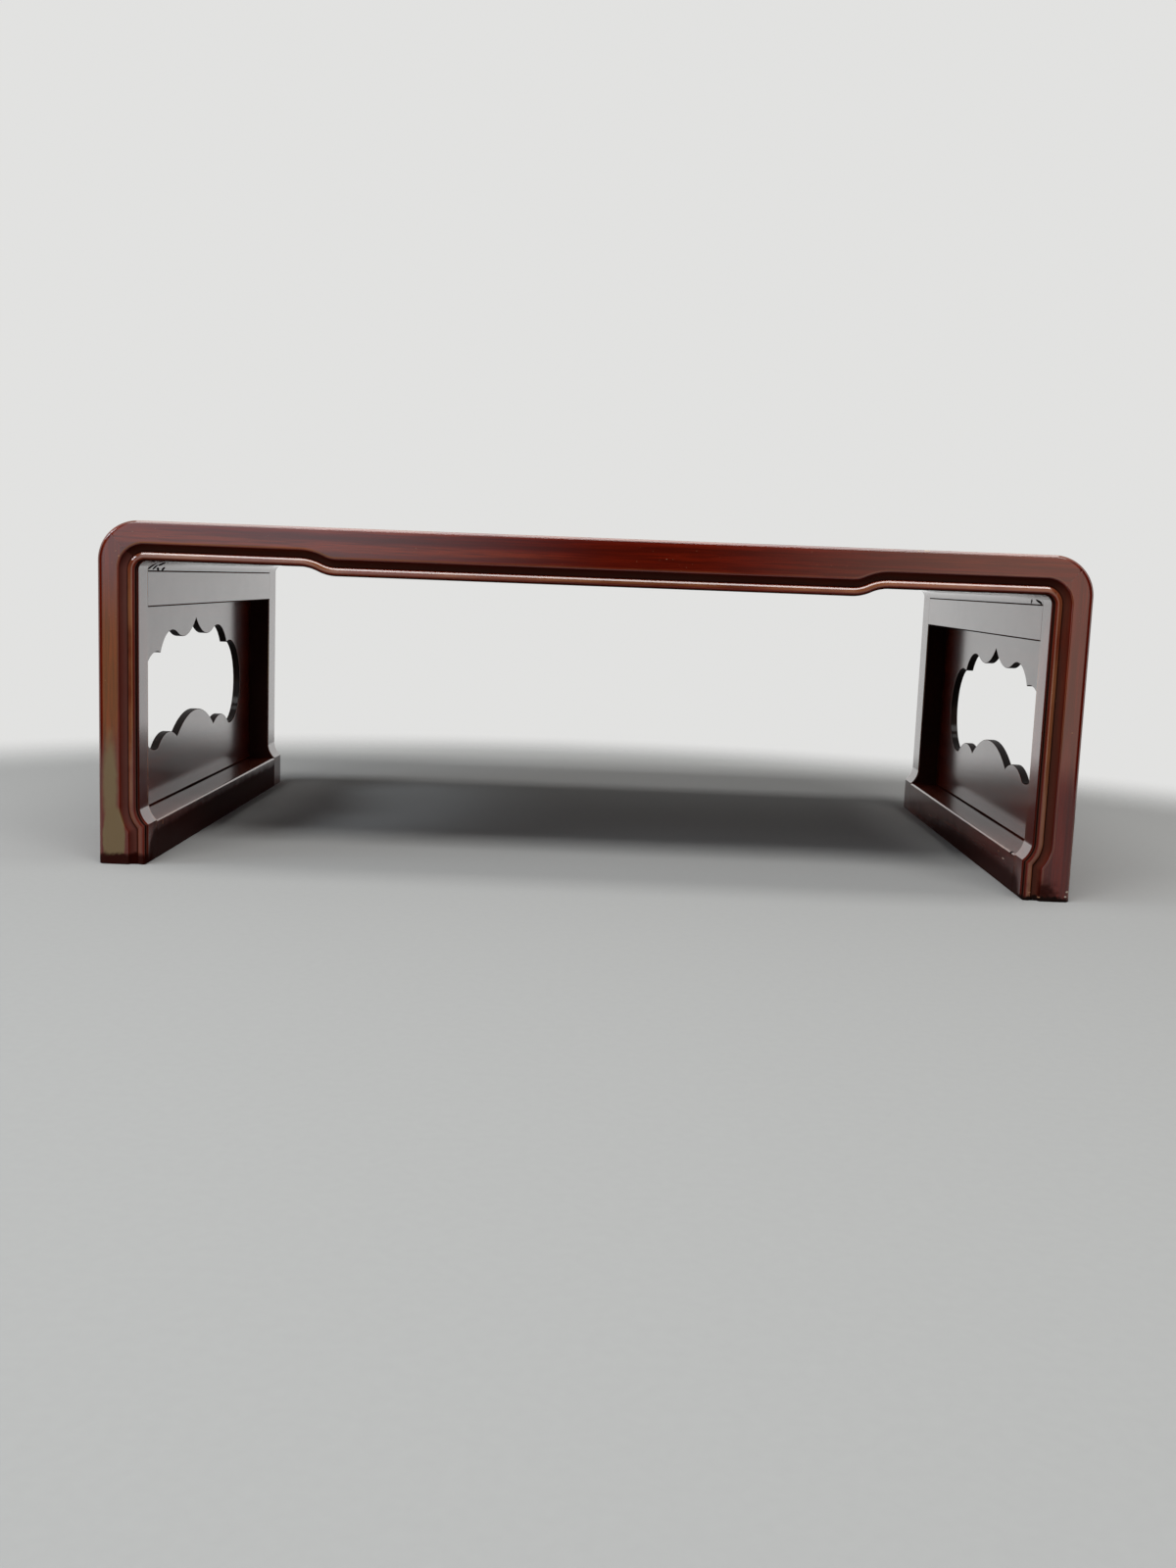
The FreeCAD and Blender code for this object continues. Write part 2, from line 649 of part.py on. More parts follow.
def make_front_board():
    """The front board of the top: tongued into the rail, the end rails and the middle board."""
    body = new_body("top_front_board")
    joint = minus("middle_board_width / 2")
    front = minus(f"{BAY_Y} - board_gap")
    end = f"({END_X} - board_gap)"
    face = sketch_on(body, "FrontBoardFace", "XY_Plane", BOARD_UNDER_Z)
    pad(body, draw_rectangle(face, minus(end), end, front, joint), "top_thickness")
    tongue_end = f"({END_X} + board_tongue_length)"
    long_tongue_front = minus(f"{BAY_Y} + board_tongue_length")
    long_tongue_back = minus("middle_board_width / 2 - board_tongue_length")
    tongue = sketch_on(body, "FrontBoardTongue", "XY_Plane", BOARD_TONGUE_Z)
    draw(tongue, [
        (minus(end), long_tongue_front),
        (end, long_tongue_front),
        (end, front),
        (tongue_end, front),
        (tongue_end, joint),
        (end, joint),
        (end, long_tongue_back),
        (minus(end), long_tongue_back),
        (minus(end), joint),
        (minus(tongue_end), joint),
        (minus(tongue_end), front),
        (minus(end), front),
    ])
    pad(body, tongue, "board_tongue")
    cut_dovetails(body)
    return body


def make_batten():
    """The right batten under the top: a dovetail key along its top, and tenons into both frames."""
    body = new_body("right_batten")
    section = sketch_on(body, "BattenSection", "XZ_Plane")
    low_x = "(batten_position - batten_width / 2)"
    high_x = "(batten_position + batten_width / 2)"
    key_top = f"({BOARD_UNDER_Z} + dovetail_height)"
    draw(section, [
        (low_x, BATTEN_UNDER_Z),
        (high_x, BATTEN_UNDER_Z),
        (high_x, BOARD_UNDER_Z),
        ("(batten_position + dovetail_width / 2)", BOARD_UNDER_Z),
        ("(batten_position + dovetail_width / 2 + dovetail_flare)", key_top),
        ("(batten_position - dovetail_width / 2 - dovetail_flare)", key_top),
        ("(batten_position - dovetail_width / 2)", BOARD_UNDER_Z),
        (low_x, BOARD_UNDER_Z),
    ])
    run_between_frames(body, section, BATTEN_TENON)
    return body


def make_pieces():
    """All the pieces of the table, each made once and mirrored to its other places."""
    front_right = make_stile()
    front_left = across(front_right, "front_left_stile")
    rail = make_rail()
    spline = make_spline()
    left_spline = across(spline, "front_left_mitre_spline")
    board = make_front_board()
    pieces = [
        front_right,
        front_left,
        behind(front_right, "rear_right_stile"),
        behind(front_left, "rear_left_stile"),
        rail,
        behind(rail, "rear_rail"),
        spline,
        left_spline,
        behind(spline, "rear_right_mitre_spline"),
        behind(left_spline, "rear_left_mitre_spline"),
        board,
        make_middle_board(),
        behind(board, "top_rear_board"),
    ]
    for make in (make_end_rail, make_upper_rail, make_foot_rail, make_leg_panel, make_batten):
        piece = make()
        pieces += [piece, across(piece, piece.Label.replace("right", "left"))]
    return pieces


def check_and_write(pieces):
    """Stops on any failed feature or bad solid, then writes each piece to its own file."""
    doc.recompute()
    failed = [item.Label for item in doc.Objects if {"Invalid", "Error"} & set(item.State)]
    bad = [piece.Label for piece in pieces
           if piece.Shape.isNull() or not piece.Shape.isValid() or len(piece.Shape.Solids) != 1]
    if failed or bad:
        raise RuntimeError(f"failed features: {failed}; bad solids: {bad}")
    os.makedirs("parts", exist_ok=True)
    for piece in pieces:
        piece.Shape.exportStep(f"parts/{piece.Label}.step")


write_sheet()
check_and_write(make_pieces())
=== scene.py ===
"""Looks of a low display table: lacquered rosewood frames, pierced leg panels and a boarded top.

Everything is in metres, in the part's own frame: +X along the width, +Y to the back and +Z up, with
the origin on the floor under the middle of the top.
"""
import logging
import math
from dataclasses import dataclass, field
from enum import Enum

import bpy
import numpy as np
from mathutils import Matrix, Vector
from numpy.typing import NDArray


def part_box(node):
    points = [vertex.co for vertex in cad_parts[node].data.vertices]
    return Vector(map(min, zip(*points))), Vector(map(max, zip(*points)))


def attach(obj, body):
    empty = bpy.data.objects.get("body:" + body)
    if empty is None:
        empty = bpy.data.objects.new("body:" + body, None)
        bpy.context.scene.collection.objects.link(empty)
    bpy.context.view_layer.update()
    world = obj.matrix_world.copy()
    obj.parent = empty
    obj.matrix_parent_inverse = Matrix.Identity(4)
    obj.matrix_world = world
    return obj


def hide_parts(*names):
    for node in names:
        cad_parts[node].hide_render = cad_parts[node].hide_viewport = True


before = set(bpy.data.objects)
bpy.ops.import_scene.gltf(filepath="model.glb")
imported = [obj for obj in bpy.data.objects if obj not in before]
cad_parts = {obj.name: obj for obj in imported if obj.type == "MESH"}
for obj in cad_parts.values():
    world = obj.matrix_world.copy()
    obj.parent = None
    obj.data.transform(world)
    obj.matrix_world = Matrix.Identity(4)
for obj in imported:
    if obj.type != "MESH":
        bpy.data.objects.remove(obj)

Array = NDArray[np.float64]
Colour = tuple[float, float, float]
Place = tuple[float, float, float]
Pair = tuple[float, float]
Flake = tuple[float, float, float, float]
Piece = bpy.types.Object
Material = bpy.types.Material
Tree = bpy.types.NodeTree
Socket = bpy.types.NodeSocket
Sockets = bpy.types.bpy_prop_collection
Value = Socket | float
Tint = Socket | Colour
Inputs = dict[str | int, Socket | float | tuple[float, ...]]

LOG = logging.getLogger("display_table")
BODY = "root"
EXPOSED = "exposed"
EIGHTH_TURN = math.pi / 4
QUARTER_TURN = math.pi / 2
SHARP_ANGLE = math.radians(38)
CORNER_STEPS = 5
BEAM_STEPS = 25
TINY = 1e-12
DAYLIGHT = (0.84, 0.92, 1.0)


class Side(Enum):
    """The two ends of the table, by the sign of X."""

    LEFT = -1
    RIGHT = 1


class Face(Enum):
    """The two long faces of the table, by the sign of Y."""

    FRONT = -1
    REAR = 1


class Grain(Enum):
    """The axis that a piece's grain runs along."""

    WIDTH = 0
    DEPTH = 1
    HEIGHT = 2

    def stretch(self, along: float, across: float) -> Place:
        """Scale of a pattern on the three axes, from its scale along and across the grain."""
        return tuple(along if axis == self.value else across for axis in range(3))


def bowed(start: Array, end: Array, rise: float, steps: int) -> Array:
    """A circular arc that stands off its chord.

    With half chord c and rise h the radius is (c squared plus h squared) over 2h, and the points turn
    evenly about the centre.

    Args:
        start: First point, two numbers.
        end: Last point, two numbers.
        rise: Height over the chord, to the left of the way for a positive one.
        steps: Number of points.

    Returns:
        The points, both ends among them.
    """
    start, end = np.asarray(start, float), np.asarray(end, float)
    chord = end - start
    length = np.linalg.norm(chord)
    left = np.array([-chord[1], chord[0]]) / length
    radius = (length**2 / 4 + rise**2) / (2 * rise)
    centre = (start + end) / 2 + left * (rise - radius)
    first = np.arctan2(*(start - centre)[::-1])
    angles = first - np.linspace(0, 2 * np.arcsin(length / 2 / radius), steps)
    return centre + abs(radius) * np.stack([np.cos(angles), np.sin(angles)], axis=1)


def eased(start: Array, corner: Array, end: Array, steps: int) -> Array:
    """A softened corner: the quadratic curve from start to end that its corner pulls on.

    Args:
        start: Point where the softening begins.
        corner: The sharp corner that it takes away.
        end: Point where it ends.
        steps: Number of points.

    Returns:
        The points, both ends among them.
    """
    t = np.linspace(0, 1, steps)[:, None]
    start, corner, end = (np.asarray(point, float) for point in (start, corner, end))
    return (1 - t) ** 2 * start + 2 * t * (1 - t) * corner + t**2 * end


def rounding(radius: float, steps: int = CORNER_STEPS) -> tuple[Array, Array]:
    """A quarter circle between two edges: r(1 - cos a), which grows, and r(1 - sin a), which shrinks."""
    turn = np.linspace(0, QUARTER_TURN, steps)
    return radius * (1 - np.cos(turn)), radius * (1 - np.sin(turn))


def lines(x: Array | float, z: Array | float) -> Array:
    """Grid of flat places, from X and Z that reach over each other's rows and columns."""
    return np.stack(np.broadcast_arrays(x, z), axis=-1)


def soft_box(low: Pair, high: Pair, soft: float | list[float], steps: int = CORNER_STEPS) -> Array:
    """The outline of a square bar with softened corners, and a point on the flat beside each softening.

    Args:
        low: The lowest corner.
        high: The highest corner.
        soft: How far the softening reaches from each corner, one length or one for each.
        steps: Points on each corner.

    Returns:
        The points, anticlockwise from the lowest corner.
    """
    points = np.array([low, (high[0], low[1]), high, (low[0], high[1])], float)
    reach = np.broadcast_to(np.asarray(soft, float), (len(points),))
    before, after = np.roll(points, 1, axis=0) - points, np.roll(points, -1, axis=0) - points
    before /= np.linalg.norm(before, axis=1)[:, None]
    after /= np.linalg.norm(after, axis=1)[:, None]
    starts, ends = points + before * reach[:, None], points + after * reach[:, None]
    turns = np.stack([eased(*three, steps) for three in zip(starts, points, ends)])
    flats = [2 * starts - points, 2 * ends - points]
    return np.concatenate([flats[0][:, None], turns, flats[1][:, None]], axis=1).reshape(-1, 2)


def winding(loop: Array) -> float:
    """The sign of a closed outline's area: 1 where it runs anticlockwise and -1 where it runs clockwise."""
    following = np.roll(loop, -1, axis=0)
    return float(np.sign(np.sum(loop[:, 0] * following[:, 1] - loop[:, 1] * following[:, 0])))


def drawn_in(loop: Array, distance: float) -> Array:
    """A closed flat outline moved inwards along its own normals.

    Args:
        loop: Points of the outline, two numbers each.
        distance: How far each point moves.

    Returns:
        The smaller outline.
    """
    along = np.roll(loop, -1, axis=0) - np.roll(loop, 1, axis=0)
    length = np.linalg.norm(along, axis=1)[:, None]
    normal = np.stack([-along[:, 1], along[:, 0]], axis=1) / np.maximum(length, TINY)
    return loop + normal * distance * winding(loop)


def sharpness(loop: Array, full: float = 0.0015) -> Array:
    """How far each point of a closed outline stands out as an edge, from 0 to 1.

    It is the turn at the point over the length that turns, times a radius that counts as fully sharp.

    Args:
        loop: Points of the outline, two numbers each.
        full: Radius at which an edge counts as 1.

    Returns:
        One value for each point, 0 where the outline is straight or turns inwards.
    """
    before, after = loop - np.roll(loop, 1, axis=0), np.roll(loop, -1, axis=0) - loop
    cross = before[:, 0] * after[:, 1] - before[:, 1] * after[:, 0]
    lengths = np.linalg.norm(before, axis=1), np.linalg.norm(after, axis=1)
    sine = np.clip(cross / np.maximum(lengths[0] * lengths[1], TINY), -1, 1)
    turn = np.arcsin(sine) * winding(loop)
    return np.clip(full * turn / np.maximum(np.minimum(*lengths), TINY), 0, 1)


def rounded_end(end: Array, neighbour: Array, radius: float) -> Array:
    """Rounds over one end of a piece whose columns form a loop.

    The end row is drawn in by r(1 - sin a) at r(1 - cos a) from the end, for a from 0 to a quarter turn.

    Args:
        end: The end row.
        neighbour: The row next to it.
        radius: The rounding's radius.

    Returns:
        The rows that take the end row's place, the outermost first.
    """
    inward = neighbour.mean(axis=0) - end.mean(axis=0)
    inward /= np.linalg.norm(inward)
    helper = np.eye(3)[np.argmin(np.abs(inward))]
    across = np.cross(inward, helper)
    across /= np.linalg.norm(across)
    basis = np.stack([across, np.cross(inward, across)])
    flat = end @ basis.T
    shift = (drawn_in(flat, 1.0) - flat) @ basis
    forward, sideways = (distances[:, None, None] for distances in rounding(radius))
    return end + sideways * shift + forward * inward


def softened_ends(points: Array, first: float, last: float) -> Array:
    """Rounds over both ends of a piece whose columns form a loop.

    Args:
        points: Grid of points, rows along the piece.
        first: Radius at the first row.
        last: Radius at the last row.

    Returns:
        The grid with its end rows replaced by the rounded ones.
    """
    start = rounded_end(points[0], points[1], first)
    finish = rounded_end(points[-1], points[-2], last)[::-1]
    return np.concatenate([start, points[1:-1], finish])


def mesh_piece(name: str, points: Array, exposed: Array, closed_rows: bool = False) -> Piece:
    """Makes a smooth closed mesh from a grid of points whose columns form a loop.

    Args:
        name: The piece's name.
        points: Grid of points, rows along the piece and columns round it.
        exposed: In the same grid, 1 on a rubbed edge, 0 on a plain face, -1 where dark lacquer pools and
        painted shade darkens creases, recesses and joints, and less than that where a cut is sealed.
        closed_rows: True where the last row joins the first, else both ends get a cap.

    Returns:
        The new object, with its place in its mesh.
    """
    rows, columns = points.shape[:2]
    index = np.arange(rows * columns).reshape(rows, columns)
    below = index if closed_rows else index[:-1]
    above = np.roll(index, -1, axis=0) if closed_rows else index[1:]
    quads = np.stack([below, np.roll(below, -1, 1), np.roll(above, -1, 1), above], axis=-1).reshape(-1, 4)
    flat = points.reshape(-1, 3)
    corners = flat[quads]
    spread = np.cross(corners[:, 2] - corners[:, 0], corners[:, 3] - corners[:, 1])
    inside_out = np.sum((corners.mean(axis=1) - flat.mean(axis=0)) * spread) < 0
    caps = [] if closed_rows else [index[0][::-1].tolist(), index[-1].tolist()]
    faces = quads.tolist() + caps
    if inside_out:
        faces = [face[::-1] for face in faces]
    mesh = bpy.data.meshes.new(name)
    mesh.from_pydata(flat.tolist(), [], faces)
    worn = mesh.attributes.new(EXPOSED, "FLOAT", "POINT")
    worn.data.foreach_set("value", exposed.astype(np.float32).ravel())
    mesh.shade_smooth()
    mesh.set_sharp_from_angle(angle=SHARP_ANGLE)
    piece = bpy.data.objects.new(name, mesh)
    bpy.context.scene.collection.objects.link(piece)
    weighting = piece.modifiers.new("even_faces", "WEIGHTED_NORMAL")
    weighting.keep_sharp = True
    return piece


def beam(
    name: str, outline: Array, along: Grain, low: float, high: float, soft: float, edge: float = 1.0
) -> Piece:
    """Makes a straight piece: an outline carried along one axis, with both ends softened.

    Args:
        name: The piece's name.
        outline: Closed outline on the other two axes, in their order.
        along: The axis that it runs along, which is its grain's too.
        low: Where it begins.
        high: Where it ends.
        soft: Radius on the ends.
        edge: How exposed its long edges are, from -1 to 1.

    Returns:
        The piece.
    """
    stations = np.linspace(low, high, BEAM_STEPS)
    columns = [np.broadcast_to(column, (len(stations), len(outline))) for column in outline.T]
    columns.insert(along.value, np.broadcast_to(stations[:, None], columns[0].shape))
    points = softened_ends(np.stack(columns, axis=-1), soft, soft)
    return mesh_piece(name, points, np.broadcast_to(edge * sharpness(outline), points.shape[:2]))


def settle(piece: Piece, node: str, finish: Material) -> None:
    """Dresses a piece, hangs it on the table's body and lets it stand for its node.

    Args:
        piece: The new piece.
        node: The node that it stands for.
        finish: The piece's material.
    """
    piece.data.materials.append(finish)
    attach(piece, BODY)
    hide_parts(node)
    LOG.info("%s stands for %s", piece.name, node)


class Wiring:
    """Adds nodes to one node tree and joins them."""

    def __init__(self, tree: Tree) -> None:
        """Keeps the tree that nodes go into."""
        self.tree = tree

    def node(self, kind: str, inputs: Inputs | None = None, **settings: object) -> bpy.types.Node:
        """Adds one node.

        Args:
            kind: Blender's name for the node.
            inputs: Values or sockets by the input's name or number.
            settings: Other properties of the node.

        Returns:
            The node.
        """
        node = self.tree.nodes.new(kind)
        for name, value in settings.items():
            setattr(node, name, value)
        for name, value in (inputs or {}).items():
            if isinstance(value, Socket):
                self.tree.links.new(value, node.inputs[name])
            else:
                node.inputs[name].default_value = value
        return node

    def math(self, operation: str, first: Value, second: Value = 0.0) -> Socket:
        """The result of a sum on one or two values."""
        return self.node("ShaderNodeMath", {0: first, 1: second}, operation=operation).outputs[0]

    def between(self, value: Value, low: Value, high: Value, start: Value = 0.0, end: Value = 1.0) -> Socket:
        """A smooth step, which goes from start to end while the value goes from low to high."""
        inputs = {"Value": value, "From Min": low, "From Max": high, "To Min": start, "To Max": end}
        return self.node("ShaderNodeMapRange", inputs, interpolation_type="SMOOTHSTEP").outputs[0]

    def blend(self, share: Value, first: Tint, second: Tint) -> Socket:
        """The second colour laid over the first, as far as its share says."""
        first, second = (tint if isinstance(tint, Socket) else (*tint, 1) for tint in (first, second))
        return self.node("ShaderNodeMix", {0: share, 6: first, 7: second}, data_type="RGBA").outputs[2]

    def noise(self, place: Socket, scale: Value, detail: float = 2.0, distortion: float = 0.0) -> Socket:
        """Even noise about 0.5, by its lumps in a unit of length, its finer layers and how it is stirred."""
        inputs = {"Vector": place, "Scale": scale, "Detail": detail, "Distortion": distortion}
        return self.node("ShaderNodeTexNoise", inputs).outputs[0]

    def effect(self, effect: "Effect", inputs: Inputs) -> Sockets:
        """Places a shared effect and gives its outputs."""
        return self.node("ShaderNodeGroup", inputs, node_tree=effect.tree()).outputs


class Effect(Enum):
    """The surface effects that several finishes share, each a node group built once."""

    ROSEWOOD = "rosewood_figure"
    LACQUER = "handled_lacquer"
    ARRIS = "worn_arris"
    MARK = "mark"

    def tree(self) -> Tree:
        """The effect's node group, built on first use.

        Returns:
            The group.
        """
        found = bpy.data.node_groups.get(self.value)
        builders = {
            Effect.ROSEWOOD: build_rosewood,
            Effect.LACQUER: build_lacquer,
            Effect.ARRIS: build_arris,
            Effect.MARK: build_mark,
        }
        return found or builders[self](self.value)


def emptied(owner: Material | bpy.types.World) -> Wiring:
    """Clears a new material's or world's nodes away.

    Args:
        owner: The material or world.

    Returns:
        The wiring of its empty tree.
    """
    owner.use_nodes = True
    owner.node_tree.nodes.clear()
    return Wiring(owner.node_tree)


def new_effect(
    name: str, inputs: dict[str, str], outputs: dict[str, str]
) -> tuple[Wiring, dict[str, Socket]]:
    """Starts a node group with named inputs and outputs.

    Args:
        name: The group's name.
        inputs: Kind of each input by name.
        outputs: Kind of each output by name.

    Returns:
        The group's wiring, and its inputs' sockets by name.
    """
    tree = bpy.data.node_groups.new(name, "ShaderNodeTree")
    for label, kind in inputs.items():
        tree.interface.new_socket(label, in_out="INPUT", socket_type="NodeSocket" + kind)
    for label, kind in outputs.items():
        tree.interface.new_socket(label, in_out="OUTPUT", socket_type="NodeSocket" + kind)
    entry = tree.nodes.new("NodeGroupInput")
    return Wiring(tree), {label: entry.outputs[label] for label in inputs}


def build_rosewood(name: str) -> Tree:
    """Rosewood's figure: broad dark bands, fine fibre and short open pores along the grain.

    The place comes in already stretched along the grain, so each layer is even noise there.

    Args:
        name: The group's name.

    Returns:
        The group.
    """
    tints = {"Deep": "Color", "Middle": "Color", "Warm": "Color"}
    wiring, given = new_effect(name, {"Place": "Vector", **tints}, {"Colour": "Color", "Height": "Float"})
    place = given["Place"]
    broad = wiring.noise(place, scale=3.2, detail=3.0, distortion=0.6)
    bands = wiring.noise(place, scale=9.0, detail=4.0, distortion=0.4)
    fibre = wiring.noise(place, scale=44.0)
    streaks = wiring.between(wiring.noise(place, scale=22.0, detail=3.0), 0.46, 0.66)
    pores = wiring.between(wiring.noise(place, scale=190.0, detail=1.0), 0.62, 0.72)
    colour = wiring.blend(wiring.between(bands, 0.30, 0.66), given["Deep"], given["Middle"])
    colour = wiring.blend(wiring.between(broad, 0.40, 0.72, 0.0, 0.8), colour, given["Warm"])
    colour = wiring.blend(wiring.math("MULTIPLY", streaks, 0.55), colour, given["Deep"])
    colour = wiring.blend(wiring.between(fibre, 0.40, 0.66, 0.0, 0.4), colour, given["Deep"])
    colour = wiring.blend(wiring.math("MULTIPLY", pores, 0.3), colour, given["Deep"])
    raised, sunk = wiring.math("MULTIPLY", fibre, 0.35), wiring.math("MULTIPLY", pores, 0.5)
    height = wiring.math("SUBTRACT", raised, sunk)
    wiring.node("NodeGroupOutput", {"Colour": colour, "Height": height})
    return wiring.tree


def build_lacquer(name: str) -> Tree:
    """Rubbed lacquer that has been handled: cloudy haze, hairline scratches, a slow wave and fine specks.

    A scratch is the seam between long cells turned a little off the grain, kept where slow noise is high.

    Args:
        name: The group's name.

    Returns:
        The group.
    """
    inputs = {"Place": "Vector", "Smooth": "Float", "Hazy": "Float"}
    outputs = {"Roughness": "Float", "Gloss": "Float", "Height": "Float", "Specks": "Float"}
    wiring, given = new_effect(name, inputs, outputs)
    place = given["Place"]
    clouds, breath = wiring.noise(place, scale=14.0, detail=5.0), wiring.noise(place, scale=75.0, detail=3.0)
    haze = wiring.between(wiring.math("MULTIPLY", clouds, breath), 0.14, 0.42)
    long_cells = {"Vector": place, "Rotation": (0.3, 0.2, 0.5), "Scale": (0.5, 0.02, 0.02)}
    turned = wiring.node("ShaderNodeMapping", long_cells, vector_type="TEXTURE").outputs[0]
    cells = wiring.node("ShaderNodeTexVoronoi", {"Vector": turned, "Scale": 2.2}, feature="DISTANCE_TO_EDGE")
    seams = wiring.between(cells.outputs["Distance"], 0.0, 0.012, 1.0, 0.0)
    scratched = wiring.between(wiring.noise(place, scale=30.0), 0.56, 0.66)
    scratches = wiring.math("MULTIPLY", seams, scratched)
    spread = wiring.math("SUBTRACT", given["Hazy"], given["Smooth"])
    rough = wiring.math("ADD", given["Smooth"], wiring.math("MULTIPLY", haze, spread))
    rough = wiring.math("ADD", rough, wiring.math("MULTIPLY", scratches, 0.05))
    wave = wiring.math("MULTIPLY", wiring.noise(place, scale=38.0, detail=1.0), 0.5)
    grooves = wiring.math("MULTIPLY", scratches, 0.02)
    height = wiring.math("SUBTRACT", wave, grooves)
    specks = wiring.between(wiring.noise(place, scale=900.0, detail=1.0), 0.76, 0.80)
    specks = wiring.math("MULTIPLY", specks, wiring.between(wiring.noise(place, scale=22.0), 0.45, 0.65))
    dulled = wiring.math("ADD", wiring.math("MULTIPLY", haze, 0.01), grooves)
    gloss = wiring.math("SUBTRACT", 1.0, dulled)
    wiring.node("NodeGroupOutput", {"Roughness": rough, "Gloss": gloss, "Height": height, "Specks": specks})
    return wiring.tree


def build_arris(name: str) -> Tree:
    """Wear on the edges, dark lacquer in the hollows and painted shade on creases, recesses, cuts and joints:
    the mesh's exposure, broken up by noise.

    Hollows and places with painted shade have no gloss, and a sealed cut has a little.

    Args:
        name: The group's name.

    Returns:
        The group.
    """
    outputs = {"Rubbed": "Float", "Chipped": "Float", "Pooled": "Float", "Grime": "Float", "Coat": "Float"}
    wiring, given = new_effect(name, {"Place": "Vector", "Exposed": "Float"}, outputs)
    exposed = given["Exposed"]
    patches = wiring.noise(given["Place"], scale=26.0, detail=4.0)
    grit = wiring.noise(given["Place"], scale=420.0, detail=3.0)
    edge = wiring.between(exposed, 0.05, 1.0)
    rubbed = wiring.math("MULTIPLY", edge, wiring.between(patches, 0.34, 0.62, 0.25, 1.0))
    crumbs = wiring.math("MULTIPLY", wiring.between(patches, 0.60, 0.68), wiring.between(grit, 0.64, 0.70))
    chipped = wiring.math("MULTIPLY", wiring.between(exposed, 0.6, 0.95), crumbs)
    hollow = wiring.between(exposed, -0.95, -0.45, 1.0, 0.0)
    pooled = wiring.math("MULTIPLY", hollow, wiring.between(patches, 0.30, 0.60, 0.75, 1.0))
    # Painted shade: near black on the quirks, the bead's inner side, the frames' rear faces, cut edges and
    # joints.
    grime = wiring.between(exposed, -1.0, -0.9, 1.0, 0.0)
    sealed = wiring.between(exposed, -1.2, -1.1, 0.1, 0.0)
    coat = wiring.math("MAXIMUM", wiring.between(exposed, -0.35, 0.0), sealed)
    found = {"Rubbed": rubbed, "Chipped": chipped, "Pooled": pooled, "Grime": grime, "Coat": coat}
    wiring.node("NodeGroupOutput", found)
    return wiring.tree


def build_mark(name: str) -> Tree:
    """One mark: the inside of an ellipsoid that may rise along Y, with an edge that noise makes ragged.

    Args:
        name: The group's name.

    Returns:
        The group.
    """
    inputs = {"Place": "Vector", "Centre": "Vector", "Radii": "Vector", "Ragged": "Float", "Grit": "Float",
              "Core": "Float", "Slant": "Float"}
    wiring, given = new_effect(name, inputs, {"Mask": "Float"})
    place = given["Place"]
    offset = wiring.node("ShaderNodeVectorMath", {0: place, 1: given["Centre"]}, operation="SUBTRACT")
    parts = wiring.node("ShaderNodeSeparateXYZ", {0: offset.outputs[0]}).outputs
    level = wiring.math("SUBTRACT", parts["Z"], wiring.math("MULTIPLY", parts["Y"], given["Slant"]))
    slanted = wiring.node("ShaderNodeCombineXYZ", {"X": parts["X"], "Y": parts["Y"], "Z": level}).outputs[0]
    shares = wiring.node("ShaderNodeVectorMath", {0: slanted, 1: given["Radii"]}, operation="DIVIDE")
    length = wiring.node("ShaderNodeVectorMath", {0: shares.outputs[0]}, operation="LENGTH").outputs["Value"]
    lumps = wiring.noise(place, scale=given["Grit"], detail=3.0)
    edge = wiring.math("MULTIPLY", wiring.math("SUBTRACT", lumps, 0.5), given["Ragged"])
    mask = wiring.between(wiring.math("ADD", length, edge), given["Core"], 1.0, 1.0, 0.0)
    wiring.node("NodeGroupOutput", {"Mask": mask})
    return wiring.tree


class MarkKind(Enum):
    """What a mark shows, as its colour and how much of the lacquer it takes away."""

    BARE_WOOD = ((0.30, 0.15, 0.085), 1.0)
    PALE_CHIP = ((0.46, 0.36, 0.29), 1.0)
    DARK_FLAKE = ((0.006, 0.005, 0.005), 1.0)
    # A near-black band along a foot's bottom edge.
    SOILED = ((0.010, 0.005, 0.004), 1.0)
    # Painted shade: a dark, nearly matte tone on the feet's inner faces and low on the stiles' fronts, where
    # the table shades them.
    DARKENED = ((0.022, 0.0028, 0.0014), 0.9)
    # Painted reflection: a golden-olive patch low on the left stile's front.
    FADED = ((0.150, 0.095, 0.038), 0.1)
    DUSTY = ((0.090, 0.030, 0.020), 0.3)

    @property
    def colour(self) -> Colour:
        """The mark's colour."""
        return self.value[0]

    @property
    def dullness(self) -> float:
        """How much of the lacquer's gloss is lost."""
        return self.value[1]


@dataclass(frozen=True)
class Mark:
    """One mark at a place on the table, from wear and flaking to painted shade and reflection, with its rise
    in a length along Y as its slant.
    """

    kind: MarkKind
    centre: Place
    radii: Place
    ragged: float = 1.2
    grit: float = 700.0
    core: float = 0.8
    slant: float = 0.0

    @property
    def shape(self) -> Inputs:
        """The mark's place and form, as the shared effect's inputs."""
        return {name.title(): value for name, value in vars(self).items() if name != "kind"}


